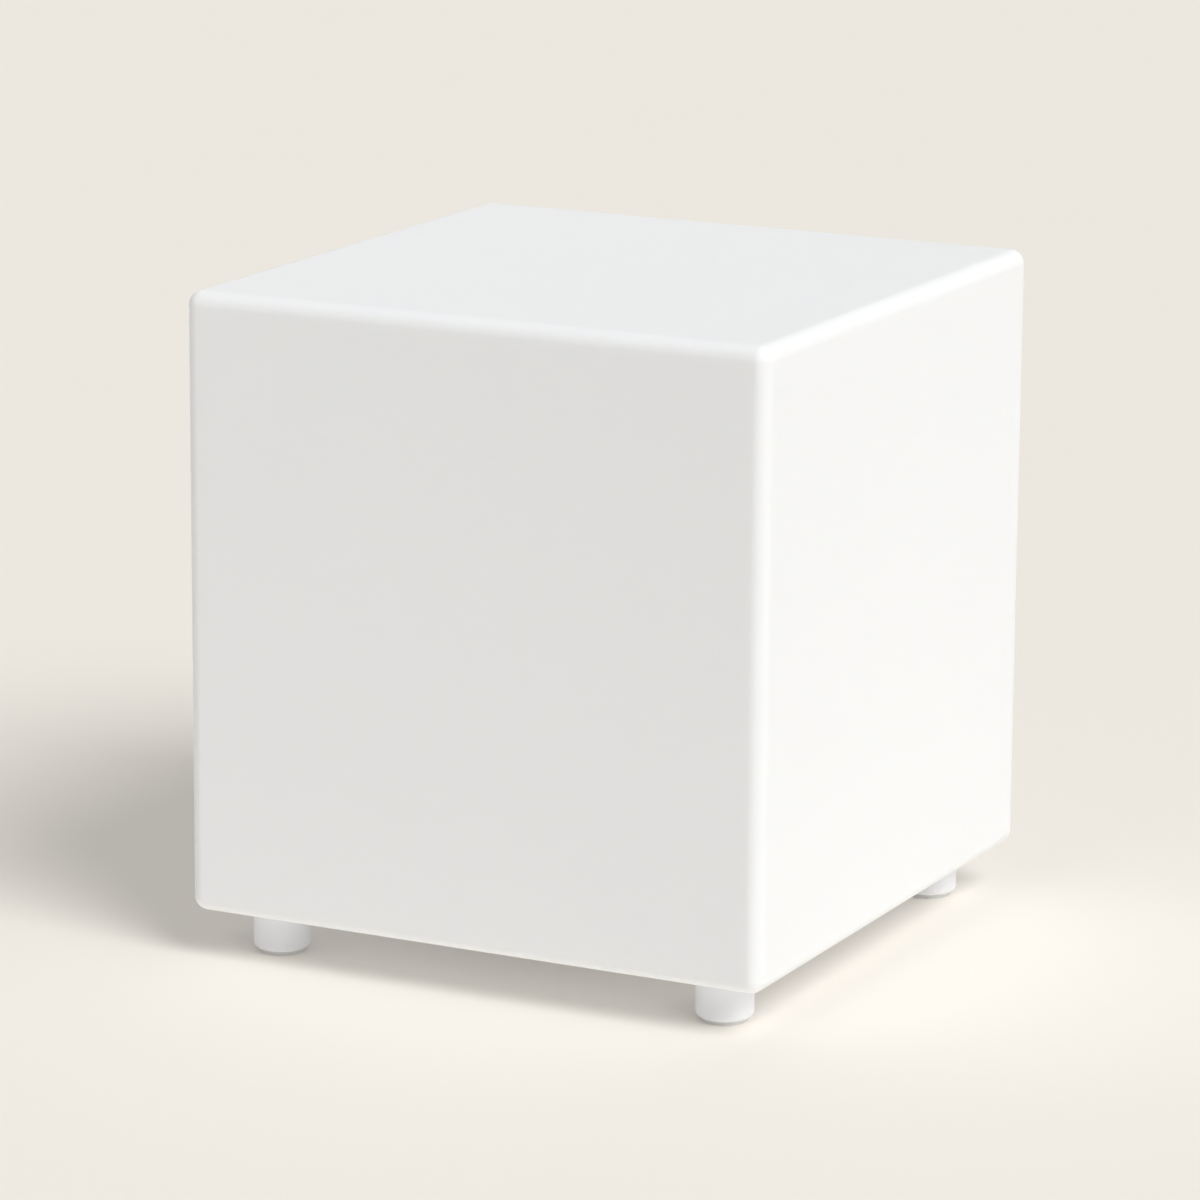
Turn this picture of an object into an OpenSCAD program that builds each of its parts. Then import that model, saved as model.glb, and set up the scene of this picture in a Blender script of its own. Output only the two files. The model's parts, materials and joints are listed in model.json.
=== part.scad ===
// Cube light: a hollow moulded cube on four round feet, lit by a sealed rechargeable module in its base.
// The origin is on the floor under the middle of the cube. +Z is up and -Y is the front.

/* [Shell] */
// Outer width and depth of the moulded cube
cube_w = 400; // [320:1:500]
// Outer height of the moulded cube
cube_h = 400; // [300:1:500]
// Radius of every outer edge and corner
edge_r = 9.5; // [6:0.5:25]
// Wall thickness of the moulded shell
shell_wall = 3.5; // [2.5:0.25:5]
// Plastic round a moulded-in insert
boss_wall = 3; // [2:0.25:5]

/* [Feet] */
// Diameter of a foot
foot_d = 36.5; // [30:0.5:45]
// Height of the shell's underside above the floor
foot_h = 31; // [28:0.5:45]
// Distance from the side of the shell to the middle of a foot
foot_inset = 43; // [32:0.5:60]
// Radius of a foot's lower edge
foot_round = 4; // [1:0.5:5]
// Diameter of a glide pad
pad_d = 28; // [22:0.5:30]
// Thickness of a glide pad
pad_t = 2.4; // [1.5:0.1:4]
// Depth of the bore that hides a foot screw's head
foot_bore_depth = 11; // [8:0.5:14]
// Diameter of the bore that hides a foot screw's head
foot_bore_d = 15; // [13:0.5:18]

/* [Fasteners] */
// Thread diameter of a foot screw
foot_screw_d = 6; // [5:0.5:7]
// Outer diameter of the insert for a foot screw
foot_insert_d = 10; // [9:0.5:14]
// Length of the insert for a foot screw
foot_insert_l = 14; // [10:0.5:20]
// Thread diameter of a base screw
base_screw_d = 4; // [3:0.5:4.5]
// Outer diameter of the insert for a base screw
base_insert_d = 7; // [6:0.5:9]
// Length of the insert for a base screw
base_insert_l = 10; // [8:0.5:14]
// Number of base screws
base_screw_count = 6; // [4:1:8]
// Thread diameter of the small self-tapping screws
small_screw_d = 3; // [2:0.25:3]
// Number of screws that hold the dome and deck, and of those that hold the housing
dome_screw_count = 6; // [6]

/* [Base flange and housing] */
// Thickness of the base flange
flange_t = 3.5; // [3:0.25:6]
// Depth of the flange's underside inside the shell's underside
flange_sink = 3; // [3:0.5:6]
// Width of the ledge that the flange is screwed to
ledge_w = 16; // [14:0.5:24]
// Thickness of the gasket between flange and shell
gasket_t = 1.5; // [1:0.25:3]
// Wall thickness of the round housing on the flange, which makes a cup with it
cup_wall = 2.5; // [2:0.25:4]
// Room between the housing's wall and what it holds
cup_room = 2; // [1.5:0.25:5]
// Height left above the battery for the leads
lead_room = 12; // [10:0.5:20]

/* [Battery] */
// Diameter of a cell
cell_d = 18.4; // [17:0.1:20]
// Length of a cell
cell_l = 65; // [60:0.5:70]
// Space between neighbouring cells
cell_gap = 1; // [0.5:0.25:2]
// Distance of the battery behind the middle
pack_y = 18; // [16:0.5:20]
// Wall thickness of the battery cradle
cradle_wall = 1.6; // [1.2:0.1:2.5]
// Thickness of the cradle under the cells
cradle_floor = 2; // [1.5:0.25:3]
// Height of the pillars under the cradle
cradle_lift = 4; // [3:0.25:6]
// Thickness of a battery contact strip
contact_t = 0.5; // [0.3:0.1:1]
// Width of the strap round the cells
strap_w = 12; // [8:0.5:20]
// Thickness of the strap round the cells
strap_t = 1; // [0.8:0.1:1.5]

/* [Control board] */
// Length of the control board
board_l = 60; // [56:1:64]
// Width of the control board
board_w = 32; // [30:0.5:36]
// Thickness of the circuit boards
board_t = 1.6; // [1:0.2:2]
// Height of the control board above the cup's floor
board_lift = 12; // [11:0.5:14]
// Distance of the control board to the right of the middle
board_x = 12; // [10:0.5:14]
// Space between the control board and the battery
board_gap = 6; // [5:0.5:8]

/* [Power button] */
// Diameter of the button's cap
button_d = 14; // [12:0.5:15]
// Width of the button's retaining rim
button_rim = 2.5; // [2:0.25:3]
// Travel of the button
button_travel = 1; // [0.5:0.1:1.2]
// Distance from the middle of the board to the button
button_shift = 10; // [8:0.5:11]
// Side of the switch body
switch_w = 12; // [10:0.5:13]
// Height of the switch body
switch_h = 3.5; // [3:0.25:4]
// Diameter of the switch's plunger
plunger_d = 5; // [4:0.25:7]
// Length of the plunger outside the switch body
plunger_out = 2.7; // [2:0.1:3]

/* [Charging port] */
// Width of the charging pocket
pocket_w = 20; // [18:0.5:22]
// Length of the charging pocket, front to back
pocket_l = 14; // [13:0.5:16]
// Corner radius of the charging pocket
pocket_corner = 3; // [2:0.25:4]
// Depth of the charging pocket above the flange's underside
pocket_depth = 12; // [11:0.5:14]
// Wall thickness of the charging pocket
pocket_wall = 2; // [1.5:0.25:3]
// Space between the pocket and the control board
pocket_gap = 7; // [6:0.5:9]
// Inner width of the charging socket
socket_w = 8.3; // [8:0.1:9]
// Inner height of the charging socket
socket_h = 2.6; // [2.4:0.1:3]
// Thickness of the socket's metal shell
socket_wall = 0.3; // [0.2:0.05:0.5]
// Depth of the charging socket
socket_depth = 6.5; // [5:0.5:8]
// Width of the small board that carries the socket
port_board_w = 20; // [20:0.5:22]
// Length of the small board that carries the socket, front to back
port_board_l = 12; // [11:0.5:13]
// Thickness of the port door
door_t = 2; // [1.6:0.1:2.4]
// Cover of the door beyond the pocket's edge
door_lap = 4.5; // [4:0.25:6]
// Radius of the door's hinge barrel
hinge_r = 2; // [1.8:0.1:2.4]
// Length of the door's hinge barrel
hinge_l = 14; // [10:0.5:15]
// Diameter of the hinge pin
hinge_pin_d = 2; // [1.5:0.1:2.2]
// Height of the seal ring on the door
door_seal_h = 2; // [1:0.25:3]

/* [Light engine] */
// Thickness of the lead-through deck
deck_t = 3; // [2.5:0.25:5]
// Thickness of the seals under the housing, the deck and the dome
seal_t = 1; // [0.6:0.1:1.5]
// Diameter of the LED board
led_board_d = 96; // [80:1:98]
// Side of an LED
led_w = 5; // [3:0.25:6]
// Height of an LED
led_h = 1.5; // [1:0.1:2.5]
// Number of LEDs in the outer ring
led_outer_count = 12; // [8:1:16]
// Number of LEDs in the inner ring
led_inner_count = 6; // [4:1:8]
// Height of the dome
dome_h = 30; // [24:1:45]
// Wall thickness of the dome
dome_wall = 2; // [1.5:0.25:3]

/* [Leads] */
// Diameter of a lead
lead_d = 1.6; // [1:0.1:1.8]

/* [Clearances] */
// Clearance round a moulded-in or screwed-in piece
seat_gap = 0.05; // [0.03:0.01:0.1]
// Clearance of pieces that drop into place
drop_gap = 0.6; // [0.4:0.1:1]
// Clearance round the module's cup in the shell's opening
cup_gap = 2; // [1:0.25:4]
// Clearance round the button and the door
move_gap = 0.4; // [0.3:0.05:0.5]
// Radial clearance of the hinge pin in the door
pin_gap = 0.05; // [0.02:0.01:0.08]

/* [Hidden] */
$fn = 64;

// Feet and their screws
foot_r = foot_d / 2;
foot_off = cube_w / 2 - foot_inset;
foot_shoulder_z = pad_t + foot_bore_depth;
insert_tip_gap = 1;
foot_screw_l = foot_h + foot_insert_l - insert_tip_gap - foot_shoulder_z;
pad_plug_h = 3;

// Battery
cell_pitch = cell_d + cell_gap;
pack_l = cell_l + 2 * contact_t + 2 * cradle_wall;
pack_w = 2 * cell_pitch + cell_d + 2 * cradle_wall;

// Control board, button and charging port, in plan
board_y = pack_y - pack_w / 2 - board_gap - board_w / 2;
board_hole_inset = 3.5;
board_post_r = 3.5;
button_c = [board_x + button_shift, board_y];
pocket_half_w = pocket_w / 2 + pocket_wall;
pocket_half_l = pocket_l / 2 + pocket_wall;
socket_c = [board_x - board_l / 2 - pocket_gap - pocket_half_w, board_y];

// Cup and flange
pack_reach = norm([pack_l / 2, pack_y + pack_w / 2]);
board_reach = norm([board_x + board_l / 2, board_w / 2 - board_y]);
pocket_reach = norm([pocket_half_w - socket_c[0], pocket_half_l - socket_c[1]]);
cup_in_r = max(pack_reach, board_reach, pocket_reach) + cup_room;
cup_r = cup_in_r + cup_wall;
opening_r = cup_r + cup_gap;
recess_r = opening_r + ledge_w;
flange_r = recess_r - drop_gap;
recess_depth = flange_sink + flange_t + gasket_t;
base_screw_ring_r = opening_r + ledge_w / 2;
base_screw_l = flange_t + gasket_t + base_insert_l - insert_tip_gap;

// Depth by which one form of a piece reaches into the next
root = 1;

// Heights in the module
base_z = foot_h + flange_sink;
floor_z = base_z + flange_t;
ledge_z = foot_h + recess_depth;
cradle_z = floor_z + cradle_lift;
cell_z = cradle_z + cradle_floor + seat_gap + cell_d / 2;
cell_top_z = cell_z + cell_d / 2;
rim_z = cell_top_z + lead_room;
deck_z = rim_z + seal_t;
deck_top_z = deck_z + deck_t;
led_board_top_z = deck_top_z + board_t;
dome_z = deck_top_z + seal_t;
board_z = floor_z + board_lift;
board_top_z = board_z + board_t;
cradle_end_h = cradle_floor + 0.75 * cell_d;
cradle_ear_r = 4;
cradle_ear_t = 2;

// Screws of the small size
pass_gap = 0.2;
small_pilot_r = small_screw_d / 2 + seat_gap;
small_pass_r = small_screw_d / 2 + pass_gap;
small_bite = 7;
screw_end_gap = 1;
cradle_pilot_depth = 2;
dome_boss_r = 4;
dome_screw_ring_r = cup_in_r - dome_boss_r - 1.5;
washer_t = 0.6;

// Seals under and over the housing's wall
seal_lap = 1;
housing_z = floor_z + seal_t;
dome_turn = 30;

// Dome
dome_in_r = led_board_d / 2 + 4;
dome_flange_t = 2;
dome_flange_r = cup_r - 3;
dome_base_r = dome_in_r + dome_wall;
dome_ball_r = (dome_base_r * dome_base_r + dome_h * dome_h) / (2 * dome_h);
dome_seal_w = 4;

// LED board
led_outer_r = led_board_d / 2 - 10;
led_inner_r = led_outer_r / 2;
led_screw_r = 0.75 * led_outer_r;
led_screw_count = 3;
led_centre_hole_d = 15;
led_screw_l = board_t + deck_t + 1;
grommet_hole_r = 4;
grommet_bore_r = 3;
grommet_rim = 2;
grommet_rim_t = 1;

// Button and switch
button_r = button_d / 2;
button_rim_r = button_r + button_rim;
button_inset = 0.5;
button_seal_t = 0.8;
button_rest_gap = 0.2;
button_rim_t = 1.5;
button_rim_z = floor_z + button_seal_t + button_rest_gap;
button_hole_r = button_r + move_gap;
button_collar_wall = 1.5;
button_collar_h = 5;
switch_z = board_z - switch_h;
plunger_z = switch_z - plunger_out;
plunger_in = 1.3;
plunger_end_gap = 0.2;
button_stem_r = 2.5;
button_dish_r = 40;

// Charging port
pocket_roof_z = base_z + pocket_depth;
pocket_roof_t = 2;
pocket_roof_top_z = pocket_roof_z + pocket_roof_t;
socket_out_w = socket_w + 2 * socket_wall;
socket_out_h = socket_h + 2 * socket_wall;
socket_back = 2;
socket_l = socket_depth + socket_back;
socket_seal_t = 1;
socket_seal_w = 1;
port_board_lift = 4;
port_board_z = pocket_roof_top_z + port_board_lift;
socket_z = port_board_z - socket_l;
port_post_r = 2;
port_post_x = socket_out_w / 2 + socket_seal_w + move_gap + port_post_r;
port_plug = [6, 5, 5];
port_screw_d = 2;
port_screw_bite = 3;
port_screw_l = board_t + port_screw_bite - 0.5;
tongue_w = 6.7;
tongue_t = 0.7;
tongue_l = 5;
door_side_lap = 3;
door_w = pocket_w + 2 * door_side_lap;
door_inset = 0.2;
door_z = base_z + door_inset;
hinge_z = base_z + hinge_r;
hinge_y = socket_c[1] + pocket_l / 2 + door_lap;
door_tip_y = socket_c[1] - pocket_l / 2 - door_lap;
door_relief = 1;
door_shoulder_y = hinge_y - hinge_r - move_gap - door_relief;
door_roof_z = door_z + door_t + move_gap;
barrel_roof_z = hinge_z + hinge_r + move_gap;
hinge_ear_l = 4;
hinge_pin_l = hinge_l + 2 * move_gap + 2 * hinge_ear_l - 1;
snap_w = 0.8 * hinge_pin_d;
port_pad_margin = 3;
port_pad_top_z = barrel_roof_z + 2;
door_seal_wall = 2;
scoop_r = 5;
scoop_h = 1.5;

// Connectors on the control board
plug_size = [8, 6, 6];
plug_pitch = 14;
plug_y = board_y + board_w / 2 - 5;
plug_top_z = board_top_z + plug_size[2];

// Controller chip, coil and two capacitors in one row, placed from the middle of the control board
part_row_y = -6;
chip_x = -14;
chip_w = 9;
chip_h = 1.2;
coil_x = 2;
coil_d = 9;
coil_h = 4.5;
capacitor_x = [12, 20];
capacitor_d = 6.3;
capacitor_h = 7;

// Leads
lead_sides = 8;
lead_steps = 5;
lead_pair = 2.4;
lead_run_z = cell_top_z + 4;
led_lead_run_z = lead_run_z + 3;
lead_stub = 1;
contact_h = 0.5 * cell_d;
contact_tab_w = 5;
contact_tab_y = pack_y - cell_pitch;
contact_tab_top_z = cell_top_z + 4;
battery_lead_z = contact_tab_top_z - 0.5 - lead_d / 2;

FEET = [["front_left", -1, -1], ["front_right", 1, -1], ["rear_left", -1, 1], ["rear_right", 1, 1]];
CELLS = [["front", -1], ["middle", 0], ["rear", 1]];

// Shared shapes

// A block with every edge and corner rounded, standing on z = 0
module rounded_block(w, d, h, r) {
  for (s = [[w, d - 2 * r, h - 2 * r], [w - 2 * r, d, h - 2 * r], [w - 2 * r, d - 2 * r, h]])
    translate([-s[0] / 2, -s[1] / 2, (h - s[2]) / 2]) cube(s);
  for (x = [-1, 1], y = [-1, 1]) translate([x * (w / 2 - r), y * (d / 2 - r), 0]) {
    translate([0, 0, r]) cylinder(r = r, h = h - 2 * r);
    for (z = [r, h - r]) translate([0, 0, z]) sphere(r);
  }
  for (x = [-1, 1], z = [r, h - r])
    translate([x * (w / 2 - r), d / 2 - r, z]) rotate([90, 0, 0]) cylinder(r = r, h = d - 2 * r);
  for (y = [-1, 1], z = [r, h - r])
    translate([r - w / 2, y * (d / 2 - r), z]) rotate([0, 90, 0]) cylinder(r = r, h = w - 2 * r);
}

// A flat rectangle with round corners, centred
module rounded_rect(w, h, r) {
  square([w - 2 * r, h], center = true);
  square([w, h - 2 * r], center = true);
  for (x = [-1, 1], y = [-1, 1]) translate([x * (w / 2 - r), y * (h / 2 - r)]) circle(r);
}

// A flat slot with round ends, centred
module slot_shape(w, h) {
  square([w - h, h], center = true);
  for (x = [-1, 1]) translate([x * (w - h) / 2, 0]) circle(h / 2);
}

// A flat ring standing on z = 0
module ring(outer_r, inner_r, h) {
  difference() {
    cylinder(r = outer_r, h = h);
    translate([0, 0, -1]) cylinder(r = inner_r, h = h + 2);
  }
}

// A pan-head screw of diameter d with a hex socket; its shank points up from z = 0 and its head hangs below
function pan_head_r(d) = 0.95 * d;
module pan_screw(d, l) {
  head_d = 2 * pan_head_r(d);
  head_h = 0.65 * d;
  drive_d = 0.5 * head_d;
  drive_depth = 0.6 * head_h;
  edge = 0.3 * head_h;
  difference() {
    union() {
      translate([0, 0, edge - head_h]) cylinder(d = head_d, h = head_h - edge);
      translate([0, 0, -head_h]) cylinder(d1 = head_d - 2 * edge, d2 = head_d, h = edge);
      cylinder(d = d, h = l);
    }
    translate([0, 0, -head_h - 1]) cylinder(d = drive_d, h = drive_depth + 1, $fn = 6);
  }
}

// A brass insert with two grooves that lock it in the plastic, standing on z = 0
module brass_insert(d, l, bore_d) {
  groove_depth = 0.6;
  groove_w = l / 8;
  difference() {
    cylinder(d = d, h = l);
    translate([0, 0, -1]) cylinder(d = bore_d, h = l + 2);
    for (i = [1, 2]) translate([0, 0, (i * l - groove_w) / 3]) ring(d, d / 2 - groove_depth, groove_w);
  }
}

// Copies round the Z axis at radius r, the first at angle start
module around(count, r, start = 0) {
  for (i = [0:count - 1]) rotate(start + 360 * i / count) translate([r, 0, 0]) children();
}

// Copies at the four feet
module at_feet() {
  for (f = FEET) translate([f[1] * foot_off, f[2] * foot_off, 0]) children();
}

// Copies at the four corners of the control board
module at_board_corners() {
  for (x = [-1, 1], y = [-1, 1])
    translate([
      board_x + x * (board_l / 2 - board_hole_inset),
      board_y + y * (board_w / 2 - board_hole_inset), 0
    ]) children();
}

// Copies at the two posts of the small board, left and right of the socket
module at_port_posts() {
  for (x = [-1, 1]) translate([x * port_post_x, 0, 0]) children();
}

// Copies at the four ears of the battery cradle
module at_cradle_ears() {
  for (x = [-1, 1], y = [-1, 1]) translate([x * (pack_l / 2 + cradle_ear_r), pack_y + y * cell_pitch, 0])
    children();
}

// A tube along a smooth curve through points
function between(p, i, t) =
  let (a = p[max(i - 1, 0)], b = p[i], c = p[i + 1], d = p[min(i + 2, len(p) - 1)])
  0.5 * (2 * b + (c - a) * t + (2 * a - 5 * b + 4 * c - d) * t * t + (3 * b - a - 3 * c + d) * t * t * t);
function smooth_path(p) = [
  for (i = [0:len(p) - 2], k = [0:lead_steps - 1]) between(p, i, k / lead_steps),
  p[len(p) - 1]
];
function unit(v) = v / norm(v);
function square_to(n, t) = unit(n - (n * t) * t);
function first_normal(t) = square_to(abs(t[2]) < 0.9 ? [0, 0, 1] : [1, 0, 0], t);
module tube(points, d) {
  path = smooth_path(points);
  last = len(path) - 1;
  // The first and last rings are square to the ends of the route
  tangents = [
    unit(points[1] - points[0]),
    for (i = [1:last - 1]) unit(path[i + 1] - path[i - 1]),
    unit(points[len(points) - 1] - points[len(points) - 2])
  ];
  normals = [
    for (i = 0, n = first_normal(tangents[0]); i <= last;
      i = i + 1, n = i <= last ? square_to(n, tangents[i]) : n) n
  ];
  rings = [
    for (i = [0:last], k = [0:lead_sides - 1])
      let (a = 360 * k / lead_sides)
      path[i] + d / 2 * (cos(a) * normals[i] + sin(a) * cross(tangents[i], normals[i]))
  ];
  walls = [
    for (i = [0:last - 1], k = [0:lead_sides - 1])
      let (a = i * lead_sides + k, b = i * lead_sides + (k + 1) % lead_sides)
      each [[a, a + lead_sides, b + lead_sides], [a, b + lead_sides, b]]
  ];
  start_cap = [for (k = [0:lead_sides - 1]) k];
  end_cap = [for (k = [lead_sides - 1:-1:0]) last * lead_sides + k];
  polyhedron(rings, concat([start_cap], walls, [end_cap]), convexity = 4);
}

// Shell

module shell() color("white") difference() {
  union() {
    difference() {
      translate([0, 0, foot_h]) rounded_block(cube_w, cube_w, cube_h, edge_r);
      translate([0, 0, foot_h + shell_wall])
        rounded_block(cube_w - 2 * shell_wall, cube_w - 2 * shell_wall, cube_h - 2 * shell_wall,
          edge_r - shell_wall);
    }
    // The wall steps inwards round the recess for the base flange
    translate([0, 0, foot_h]) cylinder(r = recess_r + shell_wall, h = recess_depth + shell_wall);
    at_feet() translate([0, 0, foot_h])
      cylinder(d = foot_insert_d + 2 * boss_wall, h = foot_insert_l + boss_wall);
    translate([0, 0, ledge_z]) around(base_screw_count, base_screw_ring_r)
      cylinder(d = base_insert_d + 2 * boss_wall, h = base_insert_l + boss_wall);
  }
  translate([0, 0, foot_h - 1]) cylinder(r = recess_r, h = recess_depth + 1);
  translate([0, 0, ledge_z - 1]) cylinder(r = opening_r, h = base_insert_l + boss_wall + shell_wall + 2);
  at_feet() translate([0, 0, foot_h - 1])
    cylinder(d = foot_insert_d + 2 * seat_gap, h = foot_insert_l + 1);
  translate([0, 0, ledge_z - 1]) around(base_screw_count, base_screw_ring_r)
    cylinder(d = base_insert_d + 2 * seat_gap, h = base_insert_l + 1);
}

// Feet

// The outline of a foot from its middle outwards: straight sides and a rounded lower edge
module foot_outline() {
  h = foot_h - pad_t;
  square([foot_r - foot_round, h]);
  translate([0, foot_round]) square([foot_r, h - foot_round]);
  translate([foot_r - foot_round, foot_round]) circle(foot_round);
}

module foot(f) color("white") translate([f[1] * foot_off, f[2] * foot_off, 0]) difference() {
  translate([0, 0, pad_t]) rotate_extrude() foot_outline();
  translate([0, 0, pad_t - 1]) cylinder(d = foot_bore_d, h = foot_bore_depth + 1);
  translate([0, 0, pad_t]) cylinder(d = foot_screw_d + 2 * drop_gap, h = foot_h);
}

module glide_pad(f) color("whitesmoke") translate([f[1] * foot_off, f[2] * foot_off, 0]) {
  chamfer = 0.4;
  cylinder(d1 = pad_d - 2 * chamfer, d2 = pad_d, h = chamfer);
  translate([0, 0, chamfer]) cylinder(d = pad_d, h = pad_t - chamfer);
  cylinder(d = foot_bore_d - 2 * seat_gap, h = pad_t + pad_plug_h);
}

module foot_screws() color("silver") at_feet() translate([0, 0, foot_shoulder_z])
  pan_screw(foot_screw_d, foot_screw_l);

module foot_inserts() color("goldenrod") at_feet() translate([0, 0, foot_h])
  brass_insert(foot_insert_d, foot_insert_l, foot_screw_d + 2 * seat_gap);

// Base flange, its gasket and screws

module base_gasket() color("dimgray") translate([0, 0, floor_z]) difference() {
  ring(recess_r - drop_gap, opening_r + drop_gap, gasket_t);
  translate([0, 0, -1]) around(base_screw_count, base_screw_ring_r)
    cylinder(d = base_screw_d + drop_gap, h = gasket_t + 2);
}

module base_inserts() color("goldenrod") translate([0, 0, ledge_z])
  around(base_screw_count, base_screw_ring_r)
    brass_insert(base_insert_d, base_insert_l, base_screw_d + 2 * seat_gap);

module base_screws() color("silver") translate([0, 0, base_z])
  around(base_screw_count, base_screw_ring_r)
    pan_screw(base_screw_d, base_screw_l);

// Pillars, collars and the pocket that rise from the base flange
module flange_pillars() translate([0, 0, floor_z]) {
  at_board_corners() cylinder(r = board_post_r, h = board_lift);
  at_cradle_ears() cylinder(r = cradle_ear_r, h = cradle_lift);
  translate(button_c)
    cylinder(r = button_rim_r + move_gap + button_collar_wall, h = button_collar_h);
  translate(socket_c) {
    linear_extrude(pocket_roof_top_z - floor_z)
      rounded_rect(2 * pocket_half_w, 2 * pocket_half_l, pocket_corner + pocket_wall);
    at_port_posts() cylinder(r = port_post_r, h = port_board_z - floor_z);
  }
  // The thick pad over the door's recess, cut back round the housing's wall and bosses
  difference() {
    intersection() {
      translate([socket_c[0] - door_w / 2 - port_pad_margin, door_tip_y - port_pad_margin, 0])
        cube([
          door_w + 2 * port_pad_margin,
          hinge_y + hinge_r - door_tip_y + 2 * port_pad_margin,
          port_pad_top_z - floor_z
        ]);
      cylinder(r = cup_in_r - seal_lap - drop_gap, h = port_pad_top_z);
    }
    around(dome_screw_count, dome_screw_ring_r, dome_turn)
      cylinder(r = dome_boss_r + move_gap, h = port_pad_top_z);
  }
}

// Holes and recesses of the charging port, seen on the underside
module port_cuts() {
  translate([socket_c[0], socket_c[1], base_z - 1]) {
    linear_extrude(pocket_depth + 1) rounded_rect(pocket_w, pocket_l, pocket_corner);
    linear_extrude(pocket_depth + pocket_roof_t + 2)
      slot_shape(socket_out_w + move_gap, socket_out_h + move_gap);
  }
  translate([socket_c[0], socket_c[1], port_board_z - port_screw_bite])
    at_port_posts() cylinder(d = port_screw_d + 2 * seat_gap, h = port_screw_bite + 1);
  translate([socket_c[0] - door_w / 2 - move_gap, door_tip_y - move_gap, base_z - 1])
    cube([
      door_w + 2 * move_gap, hinge_y - hinge_r - door_tip_y, door_roof_z - base_z + 1
    ]);
  translate([socket_c[0] - hinge_l / 2 - move_gap, hinge_y - hinge_r - 2 * move_gap, base_z - 1])
    cube([hinge_l + 2 * move_gap, 2 * hinge_r + 3 * move_gap, barrel_roof_z - base_z + 1]);
  // Snap-in seats for the two ends of the hinge pin
  translate([socket_c[0], hinge_y, hinge_z]) {
    seat_l = hinge_l + 2 * move_gap + 2 * hinge_ear_l;
    rotate([0, 90, 0]) cylinder(d = hinge_pin_d + 2 * seat_gap, h = seat_l, center = true);
    translate([-seat_l / 2, -snap_w / 2, -hinge_r - 1]) cube([seat_l, snap_w, hinge_r + 1]);
  }
  // Fingernail scoop at the free end of the door
  translate([socket_c[0], door_tip_y - move_gap, base_z - 1]) cylinder(r = scoop_r, h = scoop_h + 1);
}

module base_flange() color("gainsboro") difference() {
  edge = 1;
  union() {
    translate([0, 0, base_z]) cylinder(r1 = flange_r - edge, r2 = flange_r, h = edge);
    translate([0, 0, base_z + edge]) cylinder(r = flange_r, h = flange_t - edge);
    flange_pillars();
  }
  translate([0, 0, base_z - 1]) {
    around(base_screw_count, base_screw_ring_r)
      cylinder(d = base_screw_d + drop_gap, h = flange_t + 2);
    around(dome_screw_count, dome_screw_ring_r, dome_turn)
      cylinder(r = small_pass_r, h = flange_t + 2);
  }
  translate([button_c[0], button_c[1], base_z - 1])
    cylinder(r = button_hole_r, h = flange_t + 2);
  translate([button_c[0], button_c[1], floor_z])
    cylinder(r = button_rim_r + move_gap, h = button_collar_h + 1);
  at_board_corners() translate([0, 0, board_z - small_bite])
    cylinder(r = small_pilot_r, h = small_bite + 1);
  at_cradle_ears() translate([0, 0, floor_z - cradle_pilot_depth])
    cylinder(r = small_pilot_r, h = cradle_pilot_depth + cradle_lift + 1);
  port_cuts();
}

// A seal under or over the housing's wall
module wall_seal(z) color("dimgray") translate([0, 0, z])
  ring(cup_r, cup_in_r - seal_lap, seal_t);

// The round wall of the module, with six bosses that are screwed to the flange below and the deck above
module module_housing() color("gainsboro") difference() {
  web = 3;
  web_drop = 1;
  union() {
    translate([0, 0, housing_z]) ring(cup_r, cup_in_r, rim_z - housing_z);
    around(dome_screw_count, dome_screw_ring_r, dome_turn) {
      translate([0, 0, floor_z]) cylinder(r = dome_boss_r, h = deck_z - floor_z);
      translate([0, -web / 2, housing_z])
        cube([cup_in_r + root - dome_screw_ring_r, web, rim_z - web_drop - housing_z]);
    }
  }
  around(dome_screw_count, dome_screw_ring_r, dome_turn) {
    translate([0, 0, deck_z - small_bite]) cylinder(r = small_pilot_r, h = small_bite + 1);
    translate([0, 0, floor_z - 1]) cylinder(r = small_pilot_r, h = small_bite + 1);
  }
}

module housing_screws() color("silver") translate([0, 0, base_z - washer_t])
  around(dome_screw_count, dome_screw_ring_r, dome_turn)
    pan_screw(small_screw_d, washer_t + flange_t + small_bite - screw_end_gap);

// A rubber washer under the head of each housing screw
module housing_washers() color("dimgray") translate([0, 0, base_z - washer_t])
  around(dome_screw_count, dome_screw_ring_r, dome_turn)
    ring(pan_head_r(small_screw_d), small_screw_d / 2 + seat_gap, washer_t);

// Power button and its switch

module power_button() color("whitesmoke") translate(button_c) difference() {
  union() {
    translate([0, 0, base_z + button_inset])
      cylinder(r = button_r, h = button_rim_z - base_z - button_inset);
    translate([0, 0, button_rim_z]) cylinder(r = button_rim_r, h = button_rim_t);
    translate([0, 0, button_rim_z]) cylinder(r = button_stem_r, h = plunger_z - button_rim_z);
  }
  // The face is dished for a fingertip
  dish = 0.6;
  translate([0, 0, base_z + button_inset + dish - button_dish_r]) sphere(button_dish_r, $fn = 96);
}

module button_seal() color("silver") translate([button_c[0], button_c[1], floor_z])
  ring(button_rim_r, button_hole_r, button_seal_t);

module switch_plunger() color("black") translate([button_c[0], button_c[1], plunger_z])
  cylinder(d = plunger_d, h = plunger_out + plunger_in);

module tact_switch() color("dimgray") translate([button_c[0], button_c[1], switch_z]) difference() {
  translate([-switch_w / 2, -switch_w / 2, 0]) cube([switch_w, switch_w, switch_h]);
  translate([0, 0, -1])
    cylinder(r = plunger_d / 2 + pin_gap, h = plunger_in + button_travel + plunger_end_gap + 1);
}

// Charging port

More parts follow.
